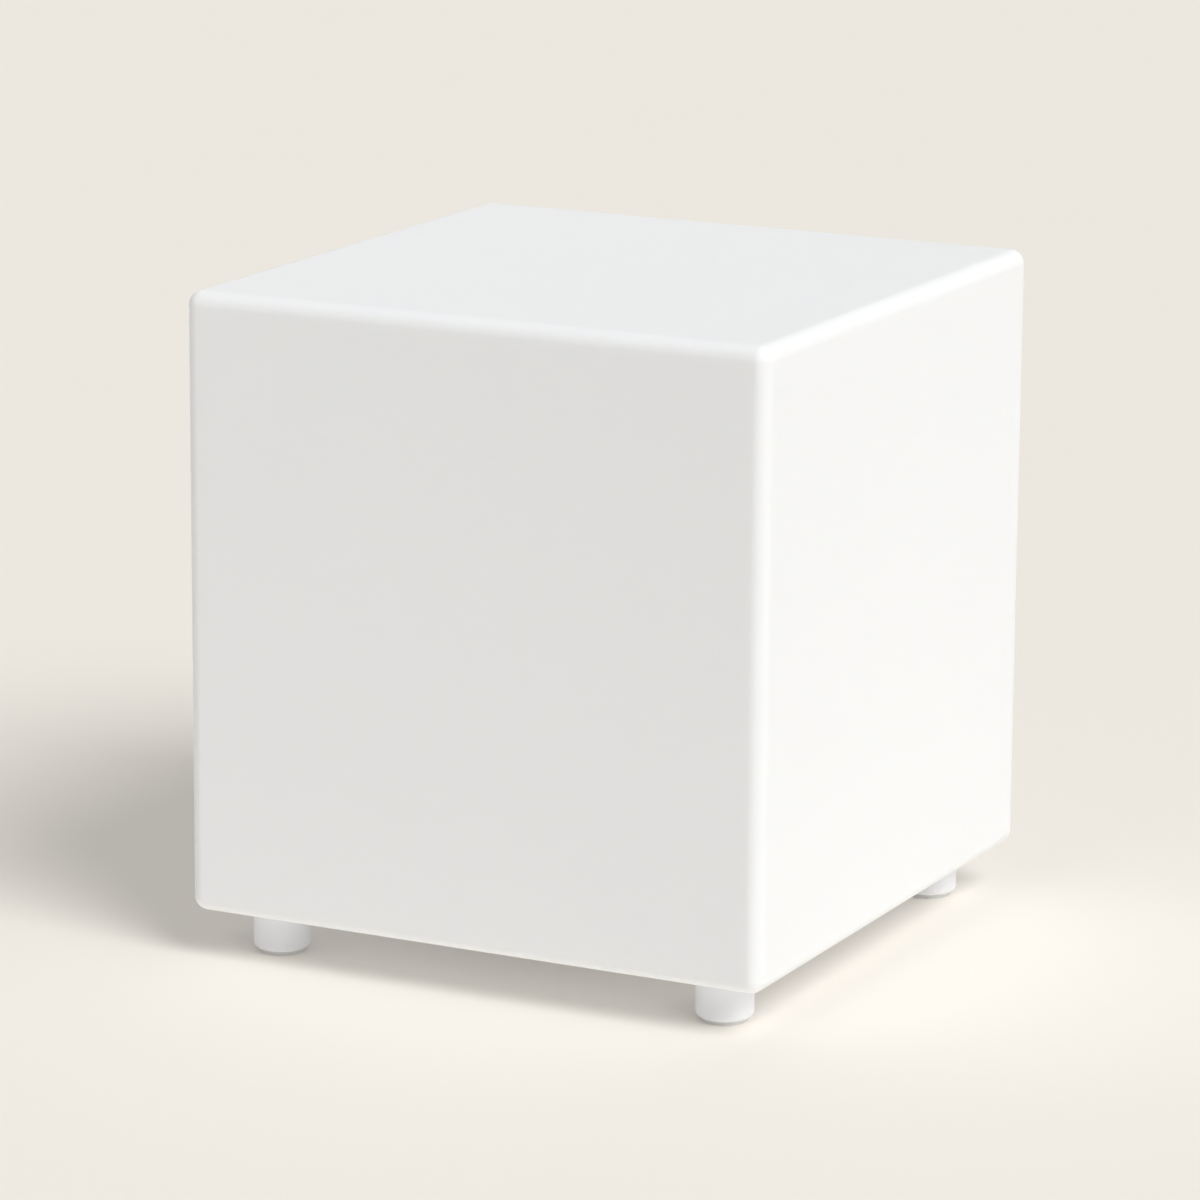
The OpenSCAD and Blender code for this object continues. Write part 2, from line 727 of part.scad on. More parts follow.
// Metal shell of the socket, open downwards, with its back wall against the small board
module charge_socket() color("silver") translate([socket_c[0], socket_c[1], socket_z]) difference() {
  linear_extrude(socket_l) slot_shape(socket_out_w, socket_out_h);
  translate([0, 0, -1]) linear_extrude(socket_depth + 1) slot_shape(socket_w, socket_h);
}

module socket_tongue() color("black")
  translate([socket_c[0] - tongue_w / 2, socket_c[1] - tongue_t / 2, socket_z + socket_depth - tongue_l])
    cube([tongue_w, tongue_t, tongue_l]);

module socket_seal() color("dimgray") translate([socket_c[0], socket_c[1], pocket_roof_top_z])
  linear_extrude(socket_seal_t) difference() {
    slot_shape(socket_out_w + 2 * socket_seal_w, socket_out_h + 2 * socket_seal_w);
    slot_shape(socket_out_w + 2 * seat_gap, socket_out_h + 2 * seat_gap);
  }

module port_board() color("darkgreen") translate([socket_c[0], socket_c[1], port_board_z]) difference() {
  translate([-port_board_w / 2, -port_board_l / 2, 0]) cube([port_board_w, port_board_l, board_t]);
  at_port_posts() translate([0, 0, -1]) cylinder(d = port_screw_d + 2 * pass_gap, h = board_t + 2);
}

module port_connector() color("ivory")
  translate([socket_c[0] - port_plug[0] / 2, socket_c[1] - port_plug[1] / 2, port_board_z + board_t])
    cube(port_plug);

module port_board_screws() color("silver") translate([socket_c[0], socket_c[1], port_board_z + board_t])
  at_port_posts() mirror([0, 0, 1])
    pan_screw(port_screw_d, port_screw_l);

module port_door() color("gainsboro") difference() {
  union() {
    translate([socket_c[0] - door_w / 2, door_tip_y, door_z])
      cube([door_w, door_shoulder_y - door_tip_y, door_t]);
    translate([socket_c[0] - hinge_l / 2, door_shoulder_y - 1, door_z])
      cube([hinge_l, hinge_y - door_shoulder_y + 1, door_t]);
    translate([socket_c[0] - hinge_l / 2, hinge_y, hinge_z])
      rotate([0, 90, 0]) cylinder(r = hinge_r, h = hinge_l);
  }
  translate([socket_c[0] - hinge_l, hinge_y, hinge_z])
    rotate([0, 90, 0]) cylinder(d = hinge_pin_d + 2 * pin_gap, h = 2 * hinge_l);
}

module door_seal() color("dimgray") translate([socket_c[0], socket_c[1], door_z + door_t])
  linear_extrude(door_seal_h) difference() {
    rounded_rect(pocket_w - 2 * move_gap, pocket_l - 2 * move_gap, pocket_corner - move_gap);
    rounded_rect(pocket_w - 2 * move_gap - 2 * door_seal_wall, pocket_l - 2 * move_gap - 2 * door_seal_wall,
      door_seal_wall / 4);
  }

module door_pin() color("silver") translate([socket_c[0], hinge_y, hinge_z])
  rotate([0, 90, 0]) cylinder(d = hinge_pin_d, h = hinge_pin_l, center = true);

// Control board

module control_board() color("darkgreen") difference() {
  translate([board_x - board_l / 2, board_y - board_w / 2, board_z]) cube([board_l, board_w, board_t]);
  at_board_corners() translate([0, 0, board_z - 1]) cylinder(r = small_pass_r, h = board_t + 2);
}

// Places of the three lead connectors, from left to right
module at_plugs() {
  for (i = [-1:1]) translate([board_x + i * plug_pitch, plug_y, board_top_z])
    rotate(i < 0 ? 90 : 0) children();
}

module board_components() {
  color("ivory") at_plugs() translate([-plug_size[0] / 2, -plug_size[1] / 2, 0]) cube(plug_size);
  translate([board_x, board_y + part_row_y, board_top_z]) {
    color("black") translate([chip_x - chip_w / 2, -chip_w / 2, 0]) cube([chip_w, chip_w, chip_h]);
    color("dimgray") translate([coil_x, 0, 0]) cylinder(d = coil_d, h = coil_h);
    color("silver") for (x = capacitor_x) translate([x, 0, 0]) cylinder(d = capacitor_d, h = capacitor_h);
  }
}

module board_screws() color("silver") at_board_corners() translate([0, 0, board_top_z]) mirror([0, 0, 1])
  pan_screw(small_screw_d, board_t + small_bite - screw_end_gap);

// Battery

module battery_cradle() color("dimgray") difference() {
  union() {
    translate([-pack_l / 2, pack_y - pack_w / 2, cradle_z])
      cube([pack_l, pack_w, cell_z - cradle_z]);
    for (x = [-1, 1]) translate([x * (pack_l / 2 - cradle_wall / 2) - cradle_wall / 2,
      pack_y - pack_w / 2, cradle_z]) cube([cradle_wall, pack_w, cradle_end_h]);
    at_cradle_ears() translate([0, 0, cradle_z]) cylinder(r = cradle_ear_r, h = cradle_ear_t);
    for (x = [-1, 1], y = [-1, 1]) translate([x * (pack_l / 2 + cradle_ear_r / 2), pack_y + y * cell_pitch,
      cradle_z + cradle_ear_t / 2]) cube([cradle_ear_r, 2 * cradle_ear_r, cradle_ear_t], center = true);
  }
  for (i = [-1:1]) translate([0, pack_y + i * cell_pitch, cell_z]) rotate([0, 90, 0])
    cylinder(r = cell_d / 2 + seat_gap, h = cell_l + 2 * contact_t, center = true);
  // Room for the contact strips between the cells and the end walls
  for (x = [-1, 1]) translate([x * (cell_l + contact_t) / 2, pack_y, cell_z])
    cube([contact_t, pack_w - 2 * cradle_wall, cell_d], center = true);
  at_cradle_ears() translate([0, 0, cradle_z - 1]) cylinder(r = small_pass_r, h = cradle_ear_t + 2);
}

module cradle_screws() color("silver") at_cradle_ears() translate([0, 0, cradle_z + cradle_ear_t])
  mirror([0, 0, 1])
    pan_screw(small_screw_d, cradle_ear_t + cradle_lift + cradle_pilot_depth - screw_end_gap);

module battery_cell(row) {
  cap_r = cell_d / 3;
  cap_h = 1;
  // The middle cell lies the other way round
  turn = row == 0 ? 180 : 0;
  translate([0, pack_y + row * cell_pitch, cell_z]) rotate([0, 90, turn]) {
    color("royalblue") translate([0, 0, -cell_l / 2]) cylinder(d = cell_d, h = cell_l - cap_h);
    color("silver") translate([0, 0, cell_l / 2 - cap_h]) cylinder(r = cap_r, h = cap_h);
  }
}

module battery_contacts() color("silver") for (x = [-1, 1]) translate([x * (cell_l + contact_t) / 2, 0, 0]) {
  translate([0, pack_y, cell_z]) cube([contact_t, 2 * cell_pitch + contact_h, contact_h], center = true);
  // The tab that the lead is soldered to
  translate([-contact_t / 2, contact_tab_y - contact_tab_w / 2, cell_z])
    cube([contact_t, contact_tab_w, contact_tab_top_z - cell_z]);
}

module battery_strap() color("black") {
  inner_w = pack_w + 2 * move_gap;
  inner_h = cell_top_z - cradle_z + 2 * move_gap;
  corner_r = move_gap;
  translate([0, pack_y, (cell_top_z + cradle_z) / 2]) rotate([90, 0, 90])
    translate([0, 0, -strap_w / 2]) linear_extrude(strap_w) difference() {
      rounded_rect(inner_w + 2 * strap_t, inner_h + 2 * strap_t, corner_r + strap_t);
      rounded_rect(inner_w, inner_h, corner_r);
    }
}

// Light engine

module led_deck() color("white") difference() {
  spigot_r = dome_screw_ring_r - dome_boss_r - 1;
  spigot_h = 2;
  spigot_w = 2;
  union() {
    translate([0, 0, deck_z]) cylinder(r = cup_r, h = deck_t);
    // Ribbed underside: a locating ring and a boss under each small screw
    translate([0, 0, deck_z - spigot_h]) {
      ring(spigot_r, spigot_r - spigot_w, spigot_h + root);
      around(led_screw_count, led_screw_r) cylinder(r = dome_boss_r, h = spigot_h + root);
    }
  }
  translate([0, 0, deck_z - 1]) {
    cylinder(r = grommet_hole_r, h = deck_t + 2);
    around(dome_screw_count, dome_screw_ring_r, dome_turn) cylinder(r = small_pass_r, h = deck_t + 2);
    around(led_screw_count, led_screw_r) cylinder(r = small_pilot_r, h = deck_t + 2);
  }
}

module lead_grommet() color("dimgray") {
  rim_r = grommet_hole_r + grommet_rim;
  difference() {
    union() {
      translate([0, 0, deck_z - grommet_rim_t]) cylinder(r = rim_r, h = grommet_rim_t);
      translate([0, 0, deck_top_z]) cylinder(r = rim_r, h = grommet_rim_t);
      translate([0, 0, deck_z]) cylinder(r = grommet_hole_r - seat_gap, h = deck_t);
    }
    translate([0, 0, deck_z - 2 * grommet_rim_t])
      cylinder(r = grommet_bore_r, h = deck_t + 4 * grommet_rim_t);
  }
}

module led_board() color("white") translate([0, 0, deck_top_z]) difference() {
  ring(led_board_d / 2, led_centre_hole_d / 2, board_t);
  translate([0, 0, -1]) around(led_screw_count, led_screw_r) cylinder(r = small_pass_r, h = board_t + 2);
}

// One LED: a square body with a round well for its phosphor
module led() difference() {
  well_d = 0.8 * led_w;
  well_depth = 0.4;
  translate([-led_w / 2, -led_w / 2, 0]) cube([led_w, led_w, led_h]);
  translate([0, 0, led_h - well_depth]) cylinder(d = well_d, h = 1);
}

module leds() color("khaki") translate([0, 0, led_board_top_z]) {
  around(led_outer_count, led_outer_r, 180 / led_outer_count) led();
  around(led_inner_count, led_inner_r, 180 / led_inner_count) led();
}

module led_board_screws() color("silver") translate([0, 0, led_board_top_z])
  around(led_screw_count, led_screw_r) mirror([0, 0, 1])
    pan_screw(small_screw_d, led_screw_l);

module dome_gasket() color("dimgray") translate([0, 0, deck_top_z])
  ring(dome_in_r + dome_seal_w, dome_in_r, seal_t);

module light_dome() color("white") difference() {
  ball_z = dome_z + dome_h - dome_ball_r;
  union() {
    translate([0, 0, dome_z]) cylinder(r = dome_flange_r, h = dome_flange_t);
    intersection() {
      translate([0, 0, ball_z]) sphere(dome_ball_r, $fn = 128);
      translate([0, 0, dome_z]) cylinder(r = dome_base_r + 1, h = dome_h + 1);
    }
  }
  intersection() {
    translate([0, 0, ball_z]) sphere(dome_ball_r - dome_wall, $fn = 128);
    translate([0, 0, dome_z - 1]) cylinder(r = dome_in_r, h = dome_h + 1);
  }
  translate([0, 0, dome_z - 1]) around(dome_screw_count, dome_screw_ring_r, dome_turn)
    cylinder(r = small_pass_r, h = dome_flange_t + 2);
}

module dome_screws() color("silver") translate([0, 0, dome_z + dome_flange_t])
  around(dome_screw_count, dome_screw_ring_r, dome_turn) mirror([0, 0, 1])
    pan_screw(small_screw_d, dome_flange_t + seal_t + deck_t + small_bite - screw_end_gap);

// Leads, each along its own route

// Where a lead enters a connector: index -1, 0 or 1, side -1 or 1; the left connector is turned
function plug_point(index, side, z) =
  [board_x + index * plug_pitch, plug_y, z] + side * lead_pair / 2 * (index < 0 ? [0, 1, 0] : [1, 0, 0]);

// A lead leaves start along start_dir and reaches end against end_dir, straight for a short stub
module lead(start, start_dir, route, end_dir, end) {
  tube(concat(
    [start, start + lead_stub * start_dir, start + 3 * lead_stub * start_dir],
    route,
    [end + 3 * lead_stub * end_dir, end + lead_stub * end_dir, end]
  ), lead_d);
}

module battery_leads() color("firebrick") for (x = [-1, 1]) {
  lead(plug_point(1, x, plug_top_z), [0, 0, 1], [
    [board_x + plug_pitch - 6 + 4 * x, pack_y - pack_w / 2 + 2, lead_run_z],
    [x * (cell_l / 2 - 10), contact_tab_y - 3, lead_run_z]
  ], [-x, 0, 0], [x * cell_l / 2, contact_tab_y, battery_lead_z]);
}

module charge_leads() color("firebrick") for (y = [-1, 1]) {
  plug_top = [socket_c[0], socket_c[1] + y * lead_pair / 2, port_board_z + board_t + port_plug[2]];
  lead(plug_top, [0, 0, 1], [
    [(socket_c[0] + board_x - plug_pitch) / 2, (socket_c[1] + plug_y) / 2 + 2 * y, lead_run_z]
  ], [0, 0, 1], plug_point(-1, y, plug_top_z));
}

module led_leads() color("firebrick") for (x = [-1, 1]) {
  lead(plug_point(0, x, plug_top_z), [0, 0, 1], [
    [board_x / 2 + x * lead_pair / 2, plug_y / 2, led_lead_run_z],
    [x * lead_pair / 2, 0, deck_z - 3], [x * lead_pair / 2, 0, deck_top_z],
    [2 * x, 0, led_board_top_z + 2]
  ], [-x, 0, 0], [x * (led_centre_hole_d / 2 + 1.5), 0, led_board_top_z + lead_d / 2]);
}

shell();
foot(FEET[0]);  // foot_front_left
foot(FEET[1]);  // foot_front_right
foot(FEET[2]);  // foot_rear_left
foot(FEET[3]);  // foot_rear_right
glide_pad(FEET[0]);  // glide_pad_front_left
glide_pad(FEET[1]);  // glide_pad_front_right
glide_pad(FEET[2]);  // glide_pad_rear_left
glide_pad(FEET[3]);  // glide_pad_rear_right
foot_screws();
foot_inserts();
base_gasket();
base_inserts();
base_screws();
base_flange();
wall_seal(floor_z);  // housing_gasket
module_housing();
housing_screws();
housing_washers();
power_button();
button_seal();
switch_plunger();
tact_switch();
charge_socket();
socket_tongue();
socket_seal();
port_board();
port_connector();
port_board_screws();
port_door();
door_seal();
door_pin();
control_board();
board_components();
board_screws();
battery_cradle();
cradle_screws();
battery_cell(CELLS[0][1]);  // battery_cell_front
battery_cell(CELLS[1][1]);  // battery_cell_middle
battery_cell(CELLS[2][1]);  // battery_cell_rear
battery_contacts();
battery_strap();
wall_seal(rim_z);  // deck_gasket
led_deck();
lead_grommet();
led_board();
leds();
led_board_screws();
dome_gasket();
light_dome();
dome_screws();
battery_leads();
charge_leads();
led_leads();
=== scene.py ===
"""Looks of a moulded cube light: white shell, round feet, sealed light module and its small parts."""

import json
import math

import bmesh
import bpy
from bpy.props import FloatProperty, FloatVectorProperty, IntProperty, PointerProperty
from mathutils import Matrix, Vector

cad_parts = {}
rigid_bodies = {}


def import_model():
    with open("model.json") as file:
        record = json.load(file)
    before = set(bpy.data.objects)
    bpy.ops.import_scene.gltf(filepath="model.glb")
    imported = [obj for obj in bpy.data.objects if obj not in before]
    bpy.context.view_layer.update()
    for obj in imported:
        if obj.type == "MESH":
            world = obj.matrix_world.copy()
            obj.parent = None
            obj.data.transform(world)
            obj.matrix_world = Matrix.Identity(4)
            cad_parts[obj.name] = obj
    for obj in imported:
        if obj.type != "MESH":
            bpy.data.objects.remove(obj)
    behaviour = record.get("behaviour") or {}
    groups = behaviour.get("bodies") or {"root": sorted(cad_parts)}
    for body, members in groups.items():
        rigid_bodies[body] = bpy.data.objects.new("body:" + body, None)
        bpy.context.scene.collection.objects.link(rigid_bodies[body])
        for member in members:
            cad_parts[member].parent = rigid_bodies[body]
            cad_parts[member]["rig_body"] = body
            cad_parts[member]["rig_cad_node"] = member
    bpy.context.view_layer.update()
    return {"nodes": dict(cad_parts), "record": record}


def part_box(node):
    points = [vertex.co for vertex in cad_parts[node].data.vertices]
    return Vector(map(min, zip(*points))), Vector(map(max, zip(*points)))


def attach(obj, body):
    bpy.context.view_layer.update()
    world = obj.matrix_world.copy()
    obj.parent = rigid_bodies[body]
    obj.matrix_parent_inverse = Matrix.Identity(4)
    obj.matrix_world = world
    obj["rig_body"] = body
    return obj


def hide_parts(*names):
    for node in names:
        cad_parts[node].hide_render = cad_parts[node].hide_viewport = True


bl_info = {
    "name": "Cube Light",
    "version": (1, 0, 0),
    "blender": (4, 5, 0),
    "location": "3D View > Sidebar > Cube Light",
    "description": "Builds the finished pieces, materials and stage of a moulded cube light",
    "category": "Object",
}

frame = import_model()

MM = 0.001
SEAT_GAP = 0.05 * MM
SAME_HEIGHT = 0.005 * MM
ROUND_SIDES = 192
FOOT_SIDES = 128
PAD_SIDES = 96
HOLE_SIDES = 64
LIP_STEPS = 6
EDGE_STEPS = 12
SMALL_EDGE_STEPS = 3
PAD_EDGE_STEPS = 4
EASED_STEPS = 2
SMOOTH_ANGLE = math.radians(35)
NORMAL_WEIGHT = 80
SHELL_LOW, SHELL_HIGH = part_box("shell")
FLANGE_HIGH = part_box("base_flange")[1]
CORNERS = ("front_left", "front_right", "rear_left", "rear_right")
FOOT_LOW, FOOT_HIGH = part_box("foot_front_left")
PAD_LOW, PAD_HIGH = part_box("glide_pad_front_left")
INSERT_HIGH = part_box("foot_inserts")[1]
BASE_INSERT_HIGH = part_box("base_inserts")[1]


# Settings

class CubeLightShell(bpy.types.PropertyGroup):
    """Sizes of the moulded shell."""

    edge_radius: FloatProperty(
        name="Edge Radius", description="Radius of every outer edge", default=9.5 * MM,
        min=4 * MM, unit="LENGTH")
    wall: FloatProperty(
        name="Wall", description="Wall thickness", default=3.5 * MM, min=2 * MM, unit="LENGTH")
    insert_wall: FloatProperty(
        name="Insert Wall", description="Plastic round a moulded-in insert", default=3 * MM,
        min=2 * MM, unit="LENGTH")
    foot_insert: FloatProperty(
        name="Foot Insert", description="Diameter of the insert for a foot's screw",
        default=10 * MM, min=6 * MM, unit="LENGTH")
    base_insert: FloatProperty(
        name="Base Insert", description="Diameter of the insert for a base screw",
        default=7 * MM, min=4 * MM, unit="LENGTH")
    base_inserts: IntProperty(
        name="Base Inserts", description="Number of inserts for base screws", default=6, min=3, max=12)
    ledge: FloatProperty(
        name="Ledge", description="Width of the ledge that the flange sits on", default=16 * MM,
        min=10 * MM, unit="LENGTH")
    recess_gap: FloatProperty(
        name="Recess Gap", description="Gap round the base flange", default=0.6 * MM,
        min=0.1 * MM, unit="LENGTH")
    recess_depth: FloatProperty(
        name="Recess Depth", description="Depth of the recess for the base flange", default=8 * MM,
        min=5 * MM, unit="LENGTH")
    lip_radius: FloatProperty(
        name="Lip Radius", description="Radius of the recess's mouth", default=1.2 * MM,
        min=0.3 * MM, unit="LENGTH")
    segments: IntProperty(
        name="Segments", description="Facets across a rounded edge", default=EDGE_STEPS, min=4, max=32)


class CubeLightFeet(bpy.types.PropertyGroup):
    """Sizes of the feet and their glide pads."""

    edge_radius: FloatProperty(
        name="Edge Radius", description="Radius of a foot's lower edge", default=4 * MM,
        min=0.5 * MM, unit="LENGTH")
    top_edge: FloatProperty(
        name="Top Edge", description="Radius of a foot's upper edge", default=0.4 * MM,
        min=0.1 * MM, unit="LENGTH")
    bore: FloatProperty(
        name="Bore", description="Diameter of the bore round the screw's head", default=15 * MM,
        min=10 * MM, unit="LENGTH")
    bore_depth: FloatProperty(
        name="Bore Depth", description="Depth of the bore round the screw's head",
        default=11 * MM, min=5 * MM, unit="LENGTH")
    screw_hole: FloatProperty(
        name="Screw Hole", description="Diameter of the hole for the screw", default=7.2 * MM,
        min=5 * MM, unit="LENGTH")
    pad_thickness: FloatProperty(
        name="Pad Thickness", description="Thickness of a glide pad", default=2.4 * MM,
        min=1 * MM, unit="LENGTH")
    pad_edge: FloatProperty(
        name="Pad Edge", description="Radius of a glide pad's edges", default=0.5 * MM,
        min=0.1 * MM, unit="LENGTH")


class CubeLightFinish(bpy.types.PropertyGroup):
    """Colours and finish of the moulded plastic."""

    shell_colour: FloatVectorProperty(
        name="Shell Colour", description="Colour of the shell", default=(0.9, 0.912, 0.955),
        size=3, min=0, max=1, subtype="COLOR")
    foot_colour: FloatVectorProperty(
        name="Foot Colour", description="Colour of the feet", default=(0.87, 0.88, 0.91),
        size=3, min=0, max=1, subtype="COLOR")
    housing_colour: FloatVectorProperty(
        name="Housing Colour", description="Colour of the base flange and door",
        default=(0.86, 0.86, 0.86), size=3, min=0, max=1, subtype="COLOR")
    roughness: FloatProperty(
        name="Roughness", description="Roughness of the shell", default=0.54, min=0.1, max=1)
    scatter: FloatProperty(
        name="Scatter", description="Distance that light spreads inside the shell's wall",
        default=6 * MM, min=0, unit="LENGTH")
    clearness: FloatProperty(
        name="Clearness", description="Share of a lamp's light that each face of the wall lets through",
        default=0.61, min=0, max=1, subtype="FACTOR")


class CubeLightStage(bpy.types.PropertyGroup):
    """Floor, lamps and camera."""

    floor_colour: FloatVectorProperty(
        name="Floor Colour", description="Colour of the floor", default=(0.88, 0.845, 0.78),
        size=3, min=0, max=1, subtype="COLOR")
    floor_size: FloatProperty(
        name="Floor Size", description="Side of the floor", default=40.0, min=4, unit="LENGTH")
    sky_power: FloatProperty(
        name="Sky Power", description="Strength of the even light from above", default=0.46, min=0)
    key_power: FloatProperty(
        name="Key Power", description="Strength of the main lamp", default=2.12, min=0)
    key_azimuth: FloatProperty(
        name="Key Azimuth", description="Direction of the main lamp, from the front towards the right",
        default=math.radians(67), subtype="ANGLE", unit="ROTATION")
    key_elevation: FloatProperty(
        name="Key Elevation", description="Height of the main lamp", default=math.radians(47),
        subtype="ANGLE", unit="ROTATION")
    key_spread: FloatProperty(
        name="Key Spread", description="Angle that the main lamp fills, which softens its shadow",
        default=math.radians(30), subtype="ANGLE", unit="ROTATION")
    low_power: FloatProperty(
        name="Low Power", description="Strength of the lamp under the floor, which lights the underside",
        default=0.45, min=0)
    camera_azimuth: FloatProperty(
        name="Camera Azimuth", description="Direction of the camera, from the front towards the right",
        default=math.radians(26.685), subtype="ANGLE", unit="ROTATION")
    camera_elevation: FloatProperty(
        name="Camera Elevation", description="Height of the camera above the level",
        default=math.radians(13.3), subtype="ANGLE", unit="ROTATION")
    camera_roll: FloatProperty(
        name="Camera Roll", description="Turn of the camera about its own line of sight",
        default=math.radians(0.396), subtype="ANGLE", unit="ROTATION")
    camera_distance: FloatProperty(
        name="Camera Distance", description="Distance of the camera from what it looks at",
        default=3.601, min=1, unit="LENGTH")
    camera_lens: FloatProperty(
        name="Camera Lens", description="Focal length in millimetres on a 36 mm sensor",
        default=167.74, min=20, unit="CAMERA")
    camera_target: FloatVectorProperty(
        name="Camera Target", description="Point that the camera looks at",
        default=(-7.9 * MM, -4.0 * MM, 214.9 * MM), size=3, subtype="TRANSLATION")


SETTINGS = {
    "cube_light_shell": CubeLightShell,
    "cube_light_feet": CubeLightFeet,
    "cube_light_finish": CubeLightFinish,
    "cube_light_stage": CubeLightStage,
}


# Modelling helpers

def add(kind, name, **where):
    """Adds one primitive with nothing else selected, and moves its place into its mesh."""
    bpy.ops.object.select_all(action="DESELECT")
    getattr(bpy.ops.mesh, f"primitive_{kind}_add")(**where)
    piece = bpy.context.object
    piece.name = name
    bpy.ops.object.transform_apply(location=True, rotation=True, scale=True)
    return piece


def add_cylinder(name, x, y, low, high, radius, sides):
    """Adds an upright cylinder between two heights."""
    return add("cylinder", name, vertices=sides, radius=radius, depth=high - low,
               location=(x, y, (low + high) / 2))


def add_block(name, low, high):
    """Adds a box between two corners."""
    low, high = Vector(low), Vector(high)
    return add("cube", name, size=1, location=(low + high) / 2, scale=high - low)


def edit(piece, mode, accepts):
    """Opens a piece in edit mode with only the faces, edges or corners selected that the test accepts."""
    bpy.ops.object.select_all(action="DESELECT")
    piece.select_set(True)
    bpy.context.view_layer.objects.active = piece
    bpy.ops.object.mode_set(mode="EDIT")
    bpy.ops.mesh.select_mode(type=mode)
    bpy.ops.mesh.select_all(action="DESELECT")
    form = bmesh.from_edit_mesh(piece.data)
    for element in {"FACE": form.faces, "EDGE": form.edges, "VERT": form.verts}[mode]:
        if accepts(element):
            element.select_set(True)
    bmesh.update_edit_mesh(piece.data)


def done():
    """Closes edit mode."""
    bpy.ops.object.mode_set(mode="OBJECT")


def flat_at(height):
    """A test for a flat face, or a level edge, at one height."""
    return lambda e: all(abs(v.co.z - height) < SAME_HEIGHT for v in e.verts)


def modify(piece, kind, **settings):
    """Applies one modifier."""
    bpy.ops.object.select_all(action="DESELECT")
    piece.select_set(True)
    bpy.context.view_layer.objects.active = piece
    modifier = piece.modifiers.new(kind.title(), kind)
    for key, value in settings.items():
        setattr(modifier, key, value)
    bpy.ops.object.modifier_apply(modifier=modifier.name)


def combine(piece, tool, operation):
    """Joins a tool to a piece, or cuts it out, and removes the tool."""
    modify(piece, "BOOLEAN", object=tool, operation=operation, solver="EXACT")
    bpy.data.meshes.remove(tool.data)


def smooth(piece):
    """Shades curves smooth, and keeps flat faces flat beside a rounded edge."""
    bpy.ops.object.select_all(action="DESELECT")
    piece.select_set(True)
    bpy.context.view_layer.objects.active = piece
    bpy.ops.object.shade_smooth_by_angle(angle=SMOOTH_ANGLE)
    modify(piece, "WEIGHTED_NORMAL", mode="FACE_AREA", weight=NORMAL_WEIGHT, keep_sharp=True)


def finish_piece(piece, node, material):
    """Gives a new piece its material and body, and lets it stand for its CAD node."""
    piece.data.materials.clear()
    piece.data.materials.append(material)
    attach(piece, frame["nodes"][node]["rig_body"])
    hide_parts(node)


def slot_of(node):
    """The record's material slot of a CAD node."""
    return next(s["material_slot"] for s in frame["record"]["subparts"] if s["node"] == node)


def copied(piece, name, shift):
    """A copy of a piece with its own mesh, moved in its mesh."""
    other = piece.copy()
    other.data = piece.data.copy()
    other.name = name
    bpy.context.scene.collection.objects.link(other)
    bpy.ops.object.select_all(action="DESELECT")
    other.select_set(True)
    bpy.context.view_layer.objects.active = other
    other.location = shift
    bpy.ops.object.transform_apply(location=True, rotation=False, scale=False)
    return other


# Material helpers

def new_group(name, inputs, outputs):
    """An empty shader node group with named value inputs and outputs."""
    group = bpy.data.node_groups.new(name, "ShaderNodeTree")
    for label, default in inputs.items():
        socket = group.interface.new_socket(label, in_out="INPUT", socket_type="NodeSocketFloat")
        socket.default_value = default
    for label, kind in outputs.items():
        group.interface.new_socket(label, in_out="OUTPUT", socket_type=kind)
    ends = group.nodes.new("NodeGroupInput"), group.nodes.new("NodeGroupOutput")
    return group, ends[0].outputs, ends[1].inputs


def node(tree, kind, links=None, **settings):
    """Adds one shader node, sets its properties and fills its inputs with values or sockets."""
    made = tree.nodes.new(kind)
    for key, value in settings.items():
        setattr(made, key, value)
    for key, value in (links or {}).items():
        if isinstance(value, bpy.types.NodeSocket):
            tree.links.new(value, made.inputs[key])
        else:
            made.inputs[key].default_value = value
    return made


def maths(tree, operation, a, b=0.0):
    """One Math node's result."""
    return node(tree, "ShaderNodeMath", {0: a, 1: b}, operation=operation).outputs[0]


def noise(tree, place, scale, detail=2.0, roughness=0.5):
    """One noise texture's value."""
    return node(tree, "ShaderNodeTexNoise", {
        "Vector": place, "Scale": scale, "Detail": detail, "Roughness": roughness,
    }).outputs["Fac"]


def object_place(tree):
    """Object coordinates."""
    return tree.nodes.new("ShaderNodeTexCoord").outputs["Object"]


def span(tree, value, low, high, to_low, to_high):
    """Maps a value from one range to another."""
    return node(tree, "ShaderNodeMapRange", {
        "Value": value, "From Min": low, "From Max": high, "To Min": to_low, "To Max": to_high,
    }).outputs["Result"]


def blend_colours(tree, mask, first, second):
    """Mixes two colours by a mask."""
    mixed = node(tree, "ShaderNodeMix", data_type="RGBA")
    for key, value in (("Factor", mask), ("A", first), ("B", second)):
        socket = next(s for s in mixed.inputs if s.name == key and s.enabled)
        if isinstance(value, bpy.types.NodeSocket):
            tree.links.new(value, socket)
        else:
            socket.default_value = value
    return next(s for s in mixed.outputs if s.enabled)


def shade(colour, factor):
    """A colour times a factor, with alpha."""
    return (*[min(1.0, c * factor) for c in colour], 1.0)


def moulded_skin_group():
    """Fine orange peel and slow waves of a moulded wall, and its slight mottling."""
    group, given, made = new_group("Moulded skin", {
        "Peel Scale": 420.0, "Wave Scale": 9.0, "Wave Share": 0.6, "Mottle Scale": 14.0,
    }, {"Height": "NodeSocketFloat", "Mottle": "NodeSocketFloat"})
    place = object_place(group)
    peel = noise(group, place, given["Peel Scale"], 3.0, 0.55)
    wave = noise(group, place, given["Wave Scale"], 1.0, 0.4)
    waves = maths(group, "MULTIPLY", wave, given["Wave Share"])
    group.links.new(maths(group, "ADD", peel, waves), made["Height"])
    group.links.new(noise(group, place, given["Mottle Scale"], 4.0, 0.6), made["Mottle"])
    return group


